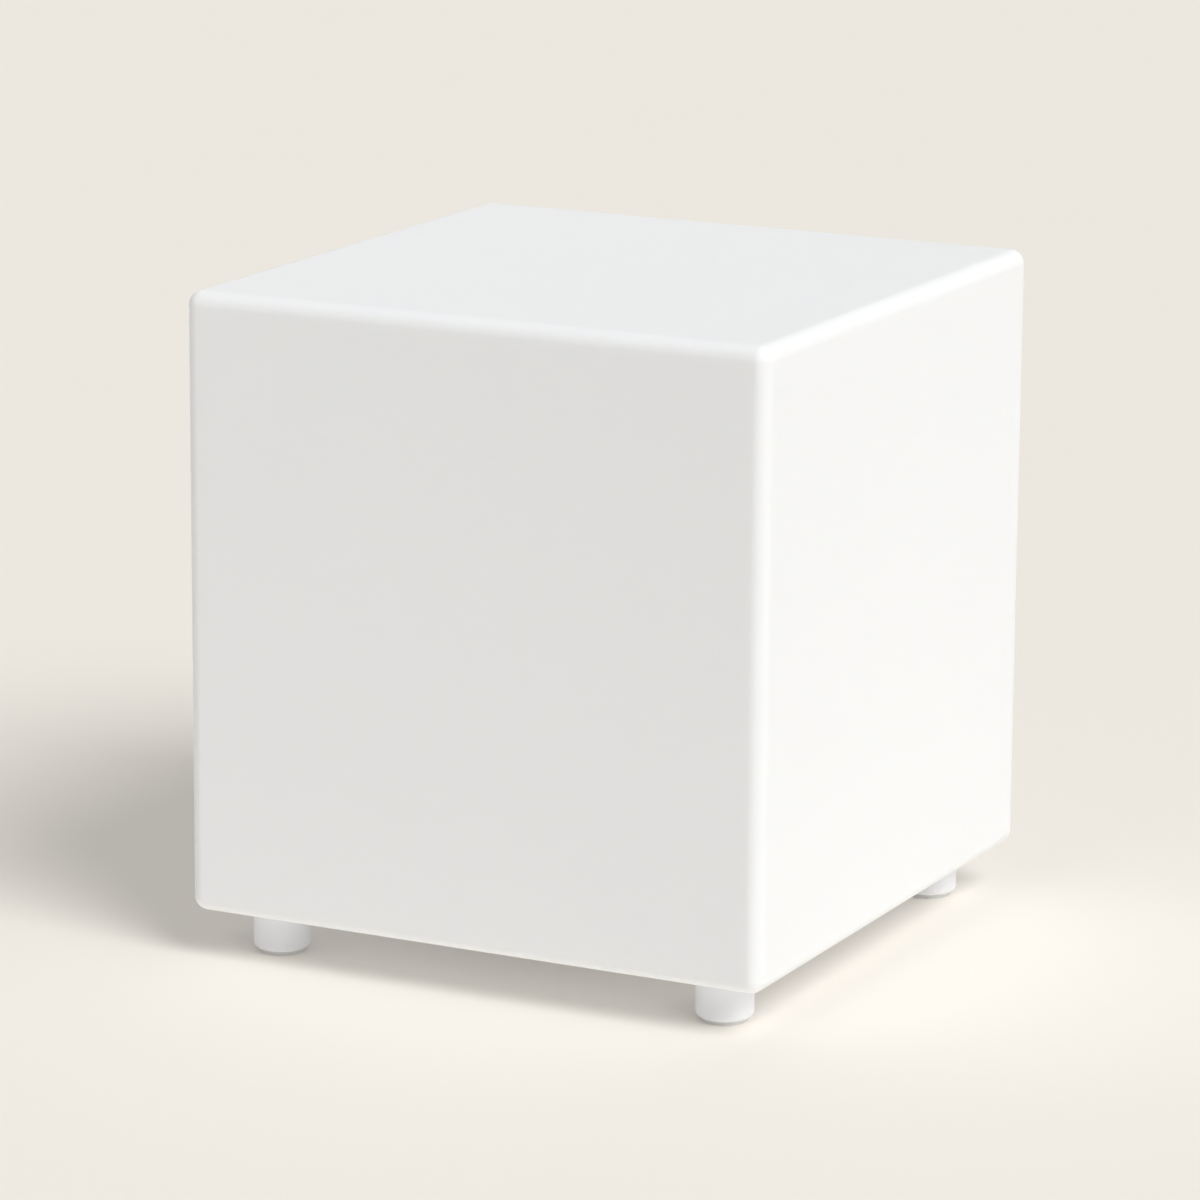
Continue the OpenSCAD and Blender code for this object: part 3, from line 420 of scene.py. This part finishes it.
def handling_group():
    """Faint rub marks and dust that handling leaves: a mask for roughness and colour."""
    group, given, made = new_group("Handling marks", {
        "Scale": 60.0, "Amount": 0.5,
    }, {"Marks": "NodeSocketFloat"})
    place = object_place(group)
    stretched = node(group, "ShaderNodeMapping", {
        "Vector": place, "Rotation": (0.4, 0.7, 0.2), "Scale": (1.0, 7.0, 1.0),
    }).outputs[0]
    rubs = span(group, noise(group, stretched, given["Scale"], 5.0, 0.65), 0.52, 0.75, 0.0, 1.0)
    spots = span(group, noise(group, place, 9.0, 2.0), 0.45, 0.7, 0.0, 1.0)
    marks = maths(group, "MULTIPLY", maths(group, "MULTIPLY", rubs, spots), given["Amount"])
    group.links.new(marks, made["Marks"])
    return group


def turned_group():
    """Fine grooves that turning or drawing leaves round the upright axis."""
    group, given, made = new_group("Turned grooves", {"Scale": 900.0}, {"Height": "NodeSocketFloat"})
    wave = node(group, "ShaderNodeTexWave", {
        "Vector": object_place(group), "Scale": given["Scale"], "Distortion": 1.5, "Detail": 2.0,
    }, wave_type="BANDS", bands_direction="Z")
    group.links.new(wave.outputs["Fac"], made["Height"])
    return group


def track_group():
    """Copper tracks under a circuit board's lacquer: a mask of straight runs and round pads."""
    group, given, made = new_group("Board tracks", {"Pitch": 520.0}, {"Track": "NodeSocketFloat"})
    place = object_place(group)
    tiles = node(group, "ShaderNodeTexBrick", {
        "Vector": place, "Scale": given["Pitch"], "Mortar Size": 0.045, "Mortar Smooth": 0.1,
        "Brick Width": 2.6, "Row Height": 0.9,
    }).outputs["Fac"]
    pads = node(group, "ShaderNodeTexVoronoi", {
        "Vector": place, "Scale": given["Pitch"], "Randomness": 0.9,
    }).outputs["Distance"]
    dots = maths(group, "LESS_THAN", pads, 0.16)
    group.links.new(maths(group, "MAXIMUM", tiles, dots), made["Track"])
    return group


GROUPS = {}


def shared(name):
    """A shared node group, built once."""
    makers = {
        "skin": moulded_skin_group, "handling": handling_group, "turned": turned_group,
        "tracks": track_group,
    }
    if name not in GROUPS:
        GROUPS[name] = makers[name]()
    return GROUPS[name]


def use(tree, name, **values):
    """Places a shared node group with its own values."""
    placed = node(tree, "ShaderNodeGroup", node_tree=shared(name))
    for key, value in values.items():
        placed.inputs[key.replace("_", " ").title()].default_value = value
    return placed


def new_material(name):
    """A material with one Principled shader."""
    material = bpy.data.materials.new(name)
    material.use_nodes = True
    material.node_tree.nodes.clear()
    shader = node(material.node_tree, "ShaderNodeBsdfPrincipled")
    node(material.node_tree, "ShaderNodeOutputMaterial", {"Surface": shader.outputs[0]})
    return material, material.node_tree, shader


def plug(tree, shader, **inputs):
    """Fills a shader's inputs with sockets or values, by their names."""
    for key, value in inputs.items():
        name = key.replace("_", " ").title().replace("Ior", "IOR")
        if isinstance(value, bpy.types.NodeSocket):
            tree.links.new(value, shader.inputs[name])
        else:
            shader.inputs[name].default_value = value


def light_path(tree, kind):
    """1 for the rays of one kind, and 0 for all others."""
    return tree.nodes.new("ShaderNodeLightPath").outputs[kind]


def let_through(tree, shader, mask):
    """Makes a surface clear for the rays that the mask picks."""
    clear = node(tree, "ShaderNodeBsdfTransparent")
    mixed = node(tree, "ShaderNodeMixShader", {0: mask, 1: shader.outputs[0], 2: clear.outputs[0]})
    output = next(n for n in tree.nodes if n.type == "OUTPUT_MATERIAL")
    tree.links.new(mixed.outputs[0], output.inputs["Surface"])


def bump(tree, height, distance):
    """A Bump node's normal for a height."""
    return node(tree, "ShaderNodeBump", {"Height": height, "Distance": distance}).outputs["Normal"]


# How a rub mark tints and dulls moulded plastic, and how much its gloss varies elsewhere
RUB_SHADE = 0.9
RUB_TINT = 0.06
RUB_DULLING = 0.12
GLOSS_SPREAD = 0.04


def moulded_plastic(name, colour, roughness, peel=420.0, depth=0.03 * MM, mottle=0.015, marks=0.4,
                    scatter=0.0, wave=0.6, clearness=0.0):
    """Moulded plastic: mottled colour, orange peel, rub marks, and light that spreads in its wall."""
    material, tree, shader = new_material(name)
    skin = use(tree, "skin", peel_scale=peel, wave_share=wave)
    rubs = use(tree, "handling", amount=marks).outputs["Marks"]
    mottling = skin.outputs["Mottle"]
    base = blend_colours(tree, mottling, shade(colour, 1 - mottle), shade(colour, 1 + mottle))
    tint = maths(tree, "MULTIPLY", rubs, RUB_TINT)
    gloss = span(tree, mottling, 0, 1, roughness - GLOSS_SPREAD, roughness + GLOSS_SPREAD)
    plug(tree, shader,
         base_color=blend_colours(tree, tint, base, shade(colour, RUB_SHADE)),
         roughness=maths(tree, "ADD", gloss, maths(tree, "MULTIPLY", rubs, RUB_DULLING)),
         normal=bump(tree, skin.outputs["Height"], depth))
    if scatter:
        plug(tree, shader, subsurface_weight=1.0, subsurface_radius=(1.0, 0.97, 0.93),
             subsurface_scale=scatter)
    if clearness:
        let_through(tree, shader, maths(tree, "MULTIPLY", light_path(tree, "Is Shadow Ray"), clearness))
    return material


def metal(name, colour, roughness, grooves=900.0, depth=0.004 * MM):
    """Turned or drawn metal with fine grooves and a cloudy surface."""
    material, tree, shader = new_material(name)
    place = object_place(tree)
    cloud = noise(tree, place, 260.0, 4.0, 0.6)
    height = use(tree, "turned", scale=grooves).outputs["Height"]
    plug(tree, shader,
         base_color=blend_colours(tree, cloud, shade(colour, 0.9), shade(colour, 1.05)),
         roughness=span(tree, cloud, 0.3, 0.7, roughness - 0.06, roughness + 0.08),
         metallic=1.0, normal=bump(tree, height, depth))
    return material


def soft_rubber(name, colour, roughness):
    """Rubber with a fine grain and a little dust."""
    material, tree, shader = new_material(name)
    place = object_place(tree)
    grain = noise(tree, place, 1400.0, 2.0)
    dust = span(tree, noise(tree, place, 90.0, 4.0, 0.7), 0.5, 0.8, 0.0, 0.25)
    plug(tree, shader,
         base_color=blend_colours(tree, dust, shade(colour, 1.0), shade(colour, 1.9)),
         roughness=span(tree, grain, 0, 1, roughness - 0.05, roughness + 0.05),
         normal=bump(tree, grain, 0.01 * MM))
    return material


def circuit_board(name, lacquer, track):
    """A lacquered board whose copper tracks show through."""
    material, tree, shader = new_material(name)
    tracks = use(tree, "tracks").outputs["Track"]
    weave = noise(tree, object_place(tree), 2200.0, 1.0)
    plug(tree, shader,
         base_color=blend_colours(tree, tracks, (*lacquer, 1.0), (*track, 1.0)),
         roughness=span(tree, weave, 0, 1, 0.22, 0.34),
         normal=bump(tree, tracks, 0.02 * MM), coat_weight=0.4, coat_roughness=0.15)
    return material


def cell_wrap(name, colour):
    """Shrink wrap with faint shrink lines round the cell's ends."""
    material, tree, shader = new_material(name)
    place = object_place(tree)
    lines = node(tree, "ShaderNodeTexWave", {
        "Vector": place, "Scale": 160.0, "Distortion": 6.0, "Detail": 2.0,
    }, bands_direction="X").outputs["Fac"]
    plug(tree, shader,
         base_color=blend_colours(tree, noise(tree, place, 120.0), shade(colour, 0.85), shade(colour, 1.1)),
         roughness=span(tree, lines, 0, 1, 0.25, 0.4),
         normal=bump(tree, lines, 0.01 * MM), coat_weight=0.5, coat_roughness=0.12)
    return material


def woven_strap(name, colour):
    """A flat woven strap: threads along and across."""
    material, tree, shader = new_material(name)
    place = object_place(tree)
    weaves = [
        node(tree, "ShaderNodeTexWave", {"Vector": place, "Scale": 620.0, "Distortion": 0.4},
             bands_direction=axis).outputs["Fac"] for axis in ("X", "Y")
    ]
    weave = maths(tree, "MULTIPLY", *weaves)
    plug(tree, shader,
         base_color=blend_colours(tree, weave, shade(colour, 0.6), shade(colour, 1.8)),
         roughness=span(tree, weave, 0, 1, 0.65, 0.85), normal=bump(tree, weave, 0.06 * MM))
    return material


def led_lens(name):
    """Yellow phosphor, as in an LED's round well, with fine grains in it."""
    material, tree, shader = new_material(name)
    place = object_place(tree)
    grains = node(tree, "ShaderNodeTexVoronoi", {"Vector": place, "Scale": 5200.0}).outputs["Distance"]
    plug(tree, shader,
         base_color=blend_colours(tree, grains, (0.92, 0.74, 0.16, 1), (0.95, 0.86, 0.45, 1)),
         roughness=span(tree, grains, 0, 1, 0.25, 0.5), normal=bump(tree, grains, 0.01 * MM))
    return material


def slot_materials(finish):
    """One material for each of the record's slots."""
    return {
        "shell_plastic": moulded_plastic(
            "Satin white shell", finish.shell_colour, finish.roughness, scatter=finish.scatter,
            depth=0.02 * MM, mottle=0.006, marks=0.25, clearness=finish.clearness),
        "foot_plastic": moulded_plastic(
            "White foot", finish.foot_colour, 0.38, peel=600.0, depth=0.012 * MM, scatter=2 * MM,
            clearness=finish.clearness / 2),
        "pad_plastic": moulded_plastic("Glide pad", (0.80, 0.80, 0.79), 0.6, peel=900.0),
        "housing_plastic": moulded_plastic(
            "Grained housing", finish.housing_colour, 0.5, peel=1300.0, depth=0.05 * MM, wave=0.1),
        "button_plastic": moulded_plastic("Button cap", (0.82, 0.82, 0.82), 0.3, peel=800.0,
                                          depth=0.01 * MM),
        "plunger_plastic": moulded_plastic("Switch plunger", (0.03, 0.03, 0.03), 0.4),
        "dark_plastic": moulded_plastic("Dark plastic", (0.06, 0.06, 0.065), 0.5, peel=1100.0),
        "seal_rubber": soft_rubber("Seal rubber", (0.05, 0.05, 0.05), 0.75),
        "clear_silicone": soft_rubber("Pale silicone", (0.55, 0.55, 0.54), 0.45),
        "screw_steel": metal("Plated steel", (0.66, 0.67, 0.68), 0.32),
        "insert_brass": metal("Turned brass", (0.80, 0.58, 0.26), 0.3, grooves=1400.0),
        "nickel_strip": metal("Nickel", (0.72, 0.70, 0.66), 0.28, grooves=500.0),
        "circuit_board": circuit_board("Green circuit board", (0.01, 0.10, 0.035), (0.03, 0.22, 0.08)),
        "white_board": circuit_board("White LED board", (0.84, 0.84, 0.82), (0.72, 0.72, 0.70)),
        "component_plastic": moulded_plastic("Connector plastic", (0.72, 0.68, 0.56), 0.45, peel=1100.0),
        "led_phosphor": led_lens("LED phosphor"),
        "cell_wrap": cell_wrap("Cell wrap", (0.05, 0.14, 0.42)),
        "strap_plastic": woven_strap("Woven strap", (0.03, 0.03, 0.03)),
        "deck_plastic": moulded_plastic("White deck", (0.84, 0.84, 0.84), 0.45, peel=900.0),
        "dome_plastic": moulded_plastic("Milky dome", (0.88, 0.88, 0.87), 0.3, depth=0.008 * MM,
                                        scatter=4 * MM),
        "lead_insulation": moulded_plastic("Lead insulation", (0.45, 0.03, 0.02), 0.35, peel=1500.0,
                                           depth=0.006 * MM),
    }


MATERIALS = {}


def material_of(name):
    """The material of a CAD node's slot."""
    return MATERIALS[slot_of(name)]


# Pieces

def rounded_block(name, low, high, radius, segments):
    """A box with every edge and corner rounded."""
    block = add_block(name, low, high)
    modify(block, "BEVEL", width=radius, segments=segments, limit_method="NONE", profile=0.5)
    return block


def foot_places():
    """Middles of the four feet, seen from above."""
    boxes = [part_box(f"foot_{corner}") for corner in CORNERS]
    return [((low.x + high.x) / 2, (low.y + high.y) / 2) for low, high in boxes]


def base_insert_places(size):
    """Middles of the base inserts, evenly round the flange."""
    ring = BASE_INSERT_HIGH.x - size.base_insert / 2
    turns = [2 * math.pi * i / size.base_inserts for i in range(size.base_inserts)]
    return [(ring * math.cos(turn), ring * math.sin(turn)) for turn in turns]


class CUBELIGHT_OT_shell(bpy.types.Operator):
    """Model the hollow shell with its recess, opening and insert bosses"""

    bl_idname = "cube_light.shell"
    bl_label = "Shell"
    bl_options = {"REGISTER", "UNDO"}

    def execute(self, context):
        size = context.scene.cube_light_shell
        ledge = SHELL_LOW.z + size.recess_depth
        radius = FLANGE_HIGH.x + size.recess_gap
        wall = Vector([size.wall] * 3)
        shell = rounded_block("shell_skin", SHELL_LOW, SHELL_HIGH, size.edge_radius, size.segments)
        hollow = rounded_block("hollow", SHELL_LOW + wall, SHELL_HIGH - wall,
                               size.edge_radius - size.wall, size.segments)
        combine(hollow, self.post("step", (0, 0), ledge + size.wall, radius + size.wall), "DIFFERENCE")
        for place, insert, top in self.inserts(size):
            boss = self.post("boss", place, top + size.insert_wall, insert / 2 + size.insert_wall)
            combine(hollow, boss, "DIFFERENCE")
        combine(shell, hollow, "DIFFERENCE")
        combine(shell, self.recess(size, ledge, radius), "DIFFERENCE")
        opening = self.post("opening", (0, 0), BASE_INSERT_HIGH.z + 2 * size.wall, radius - size.ledge)
        combine(shell, opening, "DIFFERENCE")
        for place, insert, top in self.inserts(size):
            combine(shell, self.post("bore", place, top, insert / 2 + SEAT_GAP), "DIFFERENCE")
        smooth(shell)
        finish_piece(shell, "shell", material_of("shell"))
        return {"FINISHED"}

    def post(self, name, place, top, radius):
        """An upright cylinder from just below the shell to a height."""
        return add_cylinder(name, *place, SHELL_LOW.z - MM, top, radius, ROUND_SIDES)

    def inserts(self, size):
        """Place, diameter and top of every insert."""
        feet = [(place, size.foot_insert, INSERT_HIGH.z) for place in foot_places()]
        base = [(place, size.base_insert, BASE_INSERT_HIGH.z) for place in base_insert_places(size)]
        return feet + base

    def recess(self, size, ledge, radius):
        """The recess's tool: a disc whose lower end flares out as the mouth's rounded lip."""
        mouth = SHELL_LOW.z + size.lip_radius
        tool = add_cylinder("recess", 0, 0, mouth, ledge, radius, ROUND_SIDES)
        edit(tool, "FACE", flat_at(mouth))
        wide, low = radius, 0
        for i in range(1, LIP_STEPS + 1):
            turn = math.pi / 2 * i / LIP_STEPS
            next_wide = radius + size.lip_radius * (1 - math.cos(turn))
            next_low = size.lip_radius * math.sin(turn)
            bpy.ops.mesh.extrude_region_move(TRANSFORM_OT_translate={"value": (0, 0, low - next_low)})
            bpy.ops.transform.resize(value=(next_wide / wide, next_wide / wide, 1),
                                     center_override=(0, 0, 0))
            wide, low = next_wide, next_low
        bpy.ops.mesh.extrude_region_move(TRANSFORM_OT_translate={"value": (0, 0, -MM)})
        done()
        return tool


class CUBELIGHT_OT_feet(bpy.types.Operator):
    """Model one foot with its rounded lower edge and stepped bore, and copy it to the corners"""

    bl_idname = "cube_light.feet"
    bl_label = "Feet"
    bl_options = {"REGISTER", "UNDO"}

    def execute(self, context):
        size = context.scene.cube_light_feet
        radius = (FOOT_HIGH.x - FOOT_LOW.x) / 2
        low, high = FOOT_LOW.z, FOOT_HIGH.z
        foot = add_cylinder("foot", 0, 0, low, high, radius, FOOT_SIDES)
        edit(foot, "EDGE", flat_at(low))
        bpy.ops.mesh.bevel(offset=size.edge_radius, segments=EDGE_STEPS, profile=0.5, affect="EDGES")
        done()
        edit(foot, "EDGE", flat_at(high))
        bpy.ops.mesh.bevel(offset=size.top_edge, segments=SMALL_EDGE_STEPS, profile=0.5, affect="EDGES")
        done()
        bore = add_cylinder("bore", 0, 0, low - MM, low + size.bore_depth, size.bore / 2, PAD_SIDES)
        combine(foot, bore, "DIFFERENCE")
        hole = add_cylinder("hole", 0, 0, low - MM, high + MM, size.screw_hole / 2, HOLE_SIDES)
        combine(foot, hole, "DIFFERENCE")
        smooth(foot)
        for corner, place in zip(CORNERS, foot_places()):
            made = copied(foot, f"foot_{corner}_skin", (*place, 0))
            finish_piece(made, f"foot_{corner}", material_of(f"foot_{corner}"))
        bpy.data.meshes.remove(foot.data)
        return {"FINISHED"}


class CUBELIGHT_OT_pads(bpy.types.Operator):
    """Model one glide pad with its plug, and copy it under each foot"""

    bl_idname = "cube_light.pads"
    bl_label = "Glide Pads"
    bl_options = {"REGISTER", "UNDO"}

    def execute(self, context):
        size = context.scene.cube_light_feet
        radius = (PAD_HIGH.x - PAD_LOW.x) / 2
        top = PAD_LOW.z + size.pad_thickness
        pad = add_cylinder("pad", 0, 0, PAD_LOW.z, top, radius, PAD_SIDES)
        edit(pad, "EDGE", lambda e: abs(e.verts[0].co.z - e.verts[1].co.z) < SAME_HEIGHT)
        bpy.ops.mesh.bevel(offset=size.pad_edge, segments=PAD_EDGE_STEPS, profile=0.5, affect="EDGES")
        done()
        edit(pad, "FACE", flat_at(top))
        plug_radius = size.bore / 2 - SEAT_GAP
        bpy.ops.mesh.inset(thickness=radius - size.pad_edge - plug_radius)
        bpy.ops.mesh.extrude_region_move(TRANSFORM_OT_translate={"value": (0, 0, PAD_HIGH.z - top)})
        done()
        edit(pad, "EDGE", flat_at(PAD_HIGH.z))
        bpy.ops.mesh.bevel(offset=size.pad_edge, segments=SMALL_EDGE_STEPS, profile=0.5, affect="EDGES")
        done()
        smooth(pad)
        for corner, place in zip(CORNERS, foot_places()):
            made = copied(pad, f"glide_pad_{corner}_skin", (*place, 0))
            finish_piece(made, f"glide_pad_{corner}", material_of(f"glide_pad_{corner}"))
        bpy.data.meshes.remove(pad.data)
        return {"FINISHED"}


# Nodes whose sharp edges are eased, with the width of the eased edge
EASED = {
    "base_flange": 0.3 * MM, "module_housing": 0.3 * MM, "port_door": 0.4 * MM,
    "power_button": 0.3 * MM, "foot_screws": 0.2 * MM, "base_screws": 0.2 * MM,
    "housing_screws": 0.15 * MM, "light_dome": 0.3 * MM,
}
SAME_POINT = 0.001 * MM
FLAT_ANGLE = math.radians(0.5)
SHARP_ANGLE = math.radians(40)


class CUBELIGHT_OT_eased(bpy.types.Operator):
    """Ease the sharp edges of the flange, housing, door, button, dome and screws on merged copies"""

    bl_idname = "cube_light.eased"
    bl_label = "Eased Parts"
    bl_options = {"REGISTER", "UNDO"}

    def execute(self, context):
        for name, width in EASED.items():
            piece = copied(frame["nodes"][name], f"{name}_eased", (0, 0, 0))
            piece.parent = None
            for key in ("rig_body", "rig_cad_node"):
                del piece[key]
            edit(piece, "VERT", lambda v: True)
            bpy.ops.mesh.remove_doubles(threshold=SAME_POINT)
            bpy.ops.mesh.dissolve_limited(angle_limit=FLAT_ANGLE)
            done()
            modify(piece, "BEVEL", width=width, segments=EASED_STEPS, limit_method="ANGLE",
                   angle_limit=SHARP_ANGLE, use_clamp_overlap=True)
            smooth(piece)
            finish_piece(piece, name, material_of(name))
        return {"FINISHED"}


class CUBELIGHT_OT_finishes(bpy.types.Operator):
    """Make the materials and give each CAD node the one of its slot"""

    bl_idname = "cube_light.finishes"
    bl_label = "Finishes"
    bl_options = {"REGISTER", "UNDO"}

    def execute(self, context):
        MATERIALS.update(slot_materials(context.scene.cube_light_finish))
        for name, cad in frame["nodes"].items():
            if not cad.material_slots:
                cad.data.materials.append(None)
            for place in cad.material_slots:
                place.material = material_of(name)
        return {"FINISHED"}


class CUBELIGHT_OT_stage(bpy.types.Operator):
    """Lay the floor, and set the lamps and the even light from above"""

    bl_idname = "cube_light.stage"
    bl_label = "Stage"
    bl_options = {"REGISTER", "UNDO"}

    def execute(self, context):
        stage = context.scene.cube_light_stage
        floor = add("plane", "floor", size=stage.floor_size, location=(0, 0, 0))
        floor.data.materials.append(self.floor_material(stage.floor_colour))
        self.soft_lamp("key", stage.key_power, stage.key_spread, stage.key_elevation, stage.key_azimuth)
        self.soft_lamp("low", stage.low_power, stage.key_spread, -math.pi / 2, 0)
        self.sky(context.scene, stage)
        context.scene.view_settings.view_transform = "Standard"
        return {"FINISHED"}

    def soft_lamp(self, name, power, spread, elevation, azimuth):
        """A far lamp, in a direction that is given from the front towards the right and upwards."""
        lamp = bpy.data.objects.new(name, bpy.data.lights.new(name, "SUN"))
        lamp.data.energy, lamp.data.angle = power, spread
        lamp.rotation_euler = (math.pi / 2 - elevation, 0, azimuth)
        bpy.context.scene.collection.objects.link(lamp)

    def floor_material(self, colour):
        """Plain pale paint, clear to shadow rays and to a camera below, so that the underside shows."""
        material, tree, shader = new_material("Pale floor")
        grain = noise(tree, object_place(tree), 3.0, 3.0)
        plug(tree, shader,
             base_color=blend_colours(tree, grain, shade(colour, 0.997), shade(colour, 1.003)),
             roughness=0.9, specular_ior_level=0.1)
        behind = tree.nodes.new("ShaderNodeNewGeometry").outputs["Backfacing"]
        below = maths(tree, "MULTIPLY", behind, light_path(tree, "Is Camera Ray"))
        let_through(tree, shader, maths(tree, "MAXIMUM", below, light_path(tree, "Is Shadow Ray")))
        return material

    def sky(self, scene, stage):
        """Even light from above, and the floor's colour where a camera or reflection sees past it."""
        world = bpy.data.worlds.new("Even light")
        scene.world = world
        world.use_nodes = True
        tree = world.node_tree
        tree.nodes.clear()
        mirrored = maths(tree, "MAXIMUM", light_path(tree, "Is Glossy Ray"),
                         light_path(tree, "Is Transmission Ray"))
        seen = maths(tree, "MAXIMUM", light_path(tree, "Is Camera Ray"), mirrored)
        direction = tree.nodes.new("ShaderNodeTexCoord").outputs["Generated"]
        height = node(tree, "ShaderNodeSeparateXYZ", {0: direction}).outputs["Z"]
        above = maths(tree, "GREATER_THAN", height, 0.0)
        light = node(tree, "ShaderNodeBackground", {
            "Color": (1, 1, 1, 1), "Strength": maths(tree, "MULTIPLY", above, stage.sky_power)})
        open_floor = stage.sky_power + stage.key_power * math.sin(stage.key_elevation) / math.pi
        backdrop = node(tree, "ShaderNodeBackground", {
            "Color": (*stage.floor_colour, 1), "Strength": open_floor})
        mixed = node(tree, "ShaderNodeMixShader", {0: seen, 1: light.outputs[0], 2: backdrop.outputs[0]})
        node(tree, "ShaderNodeOutputWorld", {"Surface": mixed.outputs[0]})


class CUBELIGHT_OT_camera(bpy.types.Operator):
    """Set the camera at the viewing angle"""

    bl_idname = "cube_light.camera"
    bl_label = "Camera"
    bl_options = {"REGISTER", "UNDO"}

    def execute(self, context):
        stage = context.scene.cube_light_stage
        azimuth, elevation = stage.camera_azimuth, stage.camera_elevation
        back = Vector((math.sin(azimuth) * math.cos(elevation),
                       -math.cos(azimuth) * math.cos(elevation), math.sin(elevation)))
        camera = bpy.data.objects.new("camera", bpy.data.cameras.new("camera"))
        context.scene.collection.objects.link(camera)
        camera.data.lens = stage.camera_lens
        camera.location = Vector(stage.camera_target) + stage.camera_distance * back
        camera.rotation_euler = (math.pi / 2 - elevation, 0, azimuth)
        camera.rotation_euler.rotate_axis("Z", stage.camera_roll)
        camera.data.clip_end = 2 * stage.floor_size
        context.scene.camera = camera
        return {"FINISHED"}


OPERATORS = (
    CUBELIGHT_OT_camera, CUBELIGHT_OT_finishes, CUBELIGHT_OT_shell, CUBELIGHT_OT_feet,
    CUBELIGHT_OT_pads, CUBELIGHT_OT_eased, CUBELIGHT_OT_stage,
)


class CUBELIGHT_PT_panel(bpy.types.Panel):
    """Sizes, colours and build steps of the cube light."""

    bl_idname = "CUBELIGHT_PT_panel"
    bl_label = "Cube Light"
    bl_space_type = "VIEW_3D"
    bl_region_type = "UI"
    bl_category = "Cube Light"

    def draw(self, context):
        for name in SETTINGS:
            settings = getattr(context.scene, name)
            box = self.layout.box()
            for prop in settings.bl_rna.properties:
                if prop.identifier not in ("rna_type", "name"):
                    box.prop(settings, prop.identifier)
        for operator in OPERATORS:
            self.layout.operator(operator.bl_idname)


CLASSES = (*SETTINGS.values(), *OPERATORS, CUBELIGHT_PT_panel)


def register():
    """Registers the classes and puts the settings on the scene."""
    for kind in CLASSES:
        bpy.utils.register_class(kind)
    for name, kind in SETTINGS.items():
        setattr(bpy.types.Scene, name, PointerProperty(type=kind))


def unregister():
    """Takes the settings and classes away."""
    for name in SETTINGS:
        delattr(bpy.types.Scene, name)
    for kind in reversed(CLASSES):
        bpy.utils.unregister_class(kind)


def main():
    """Builds the pieces, finishes, stage and camera in order."""
    register()
    for operator in OPERATORS:
        group, step = operator.bl_idname.split(".")
        getattr(getattr(bpy.ops, group), step)()


if __name__ == "__main__":
    main()
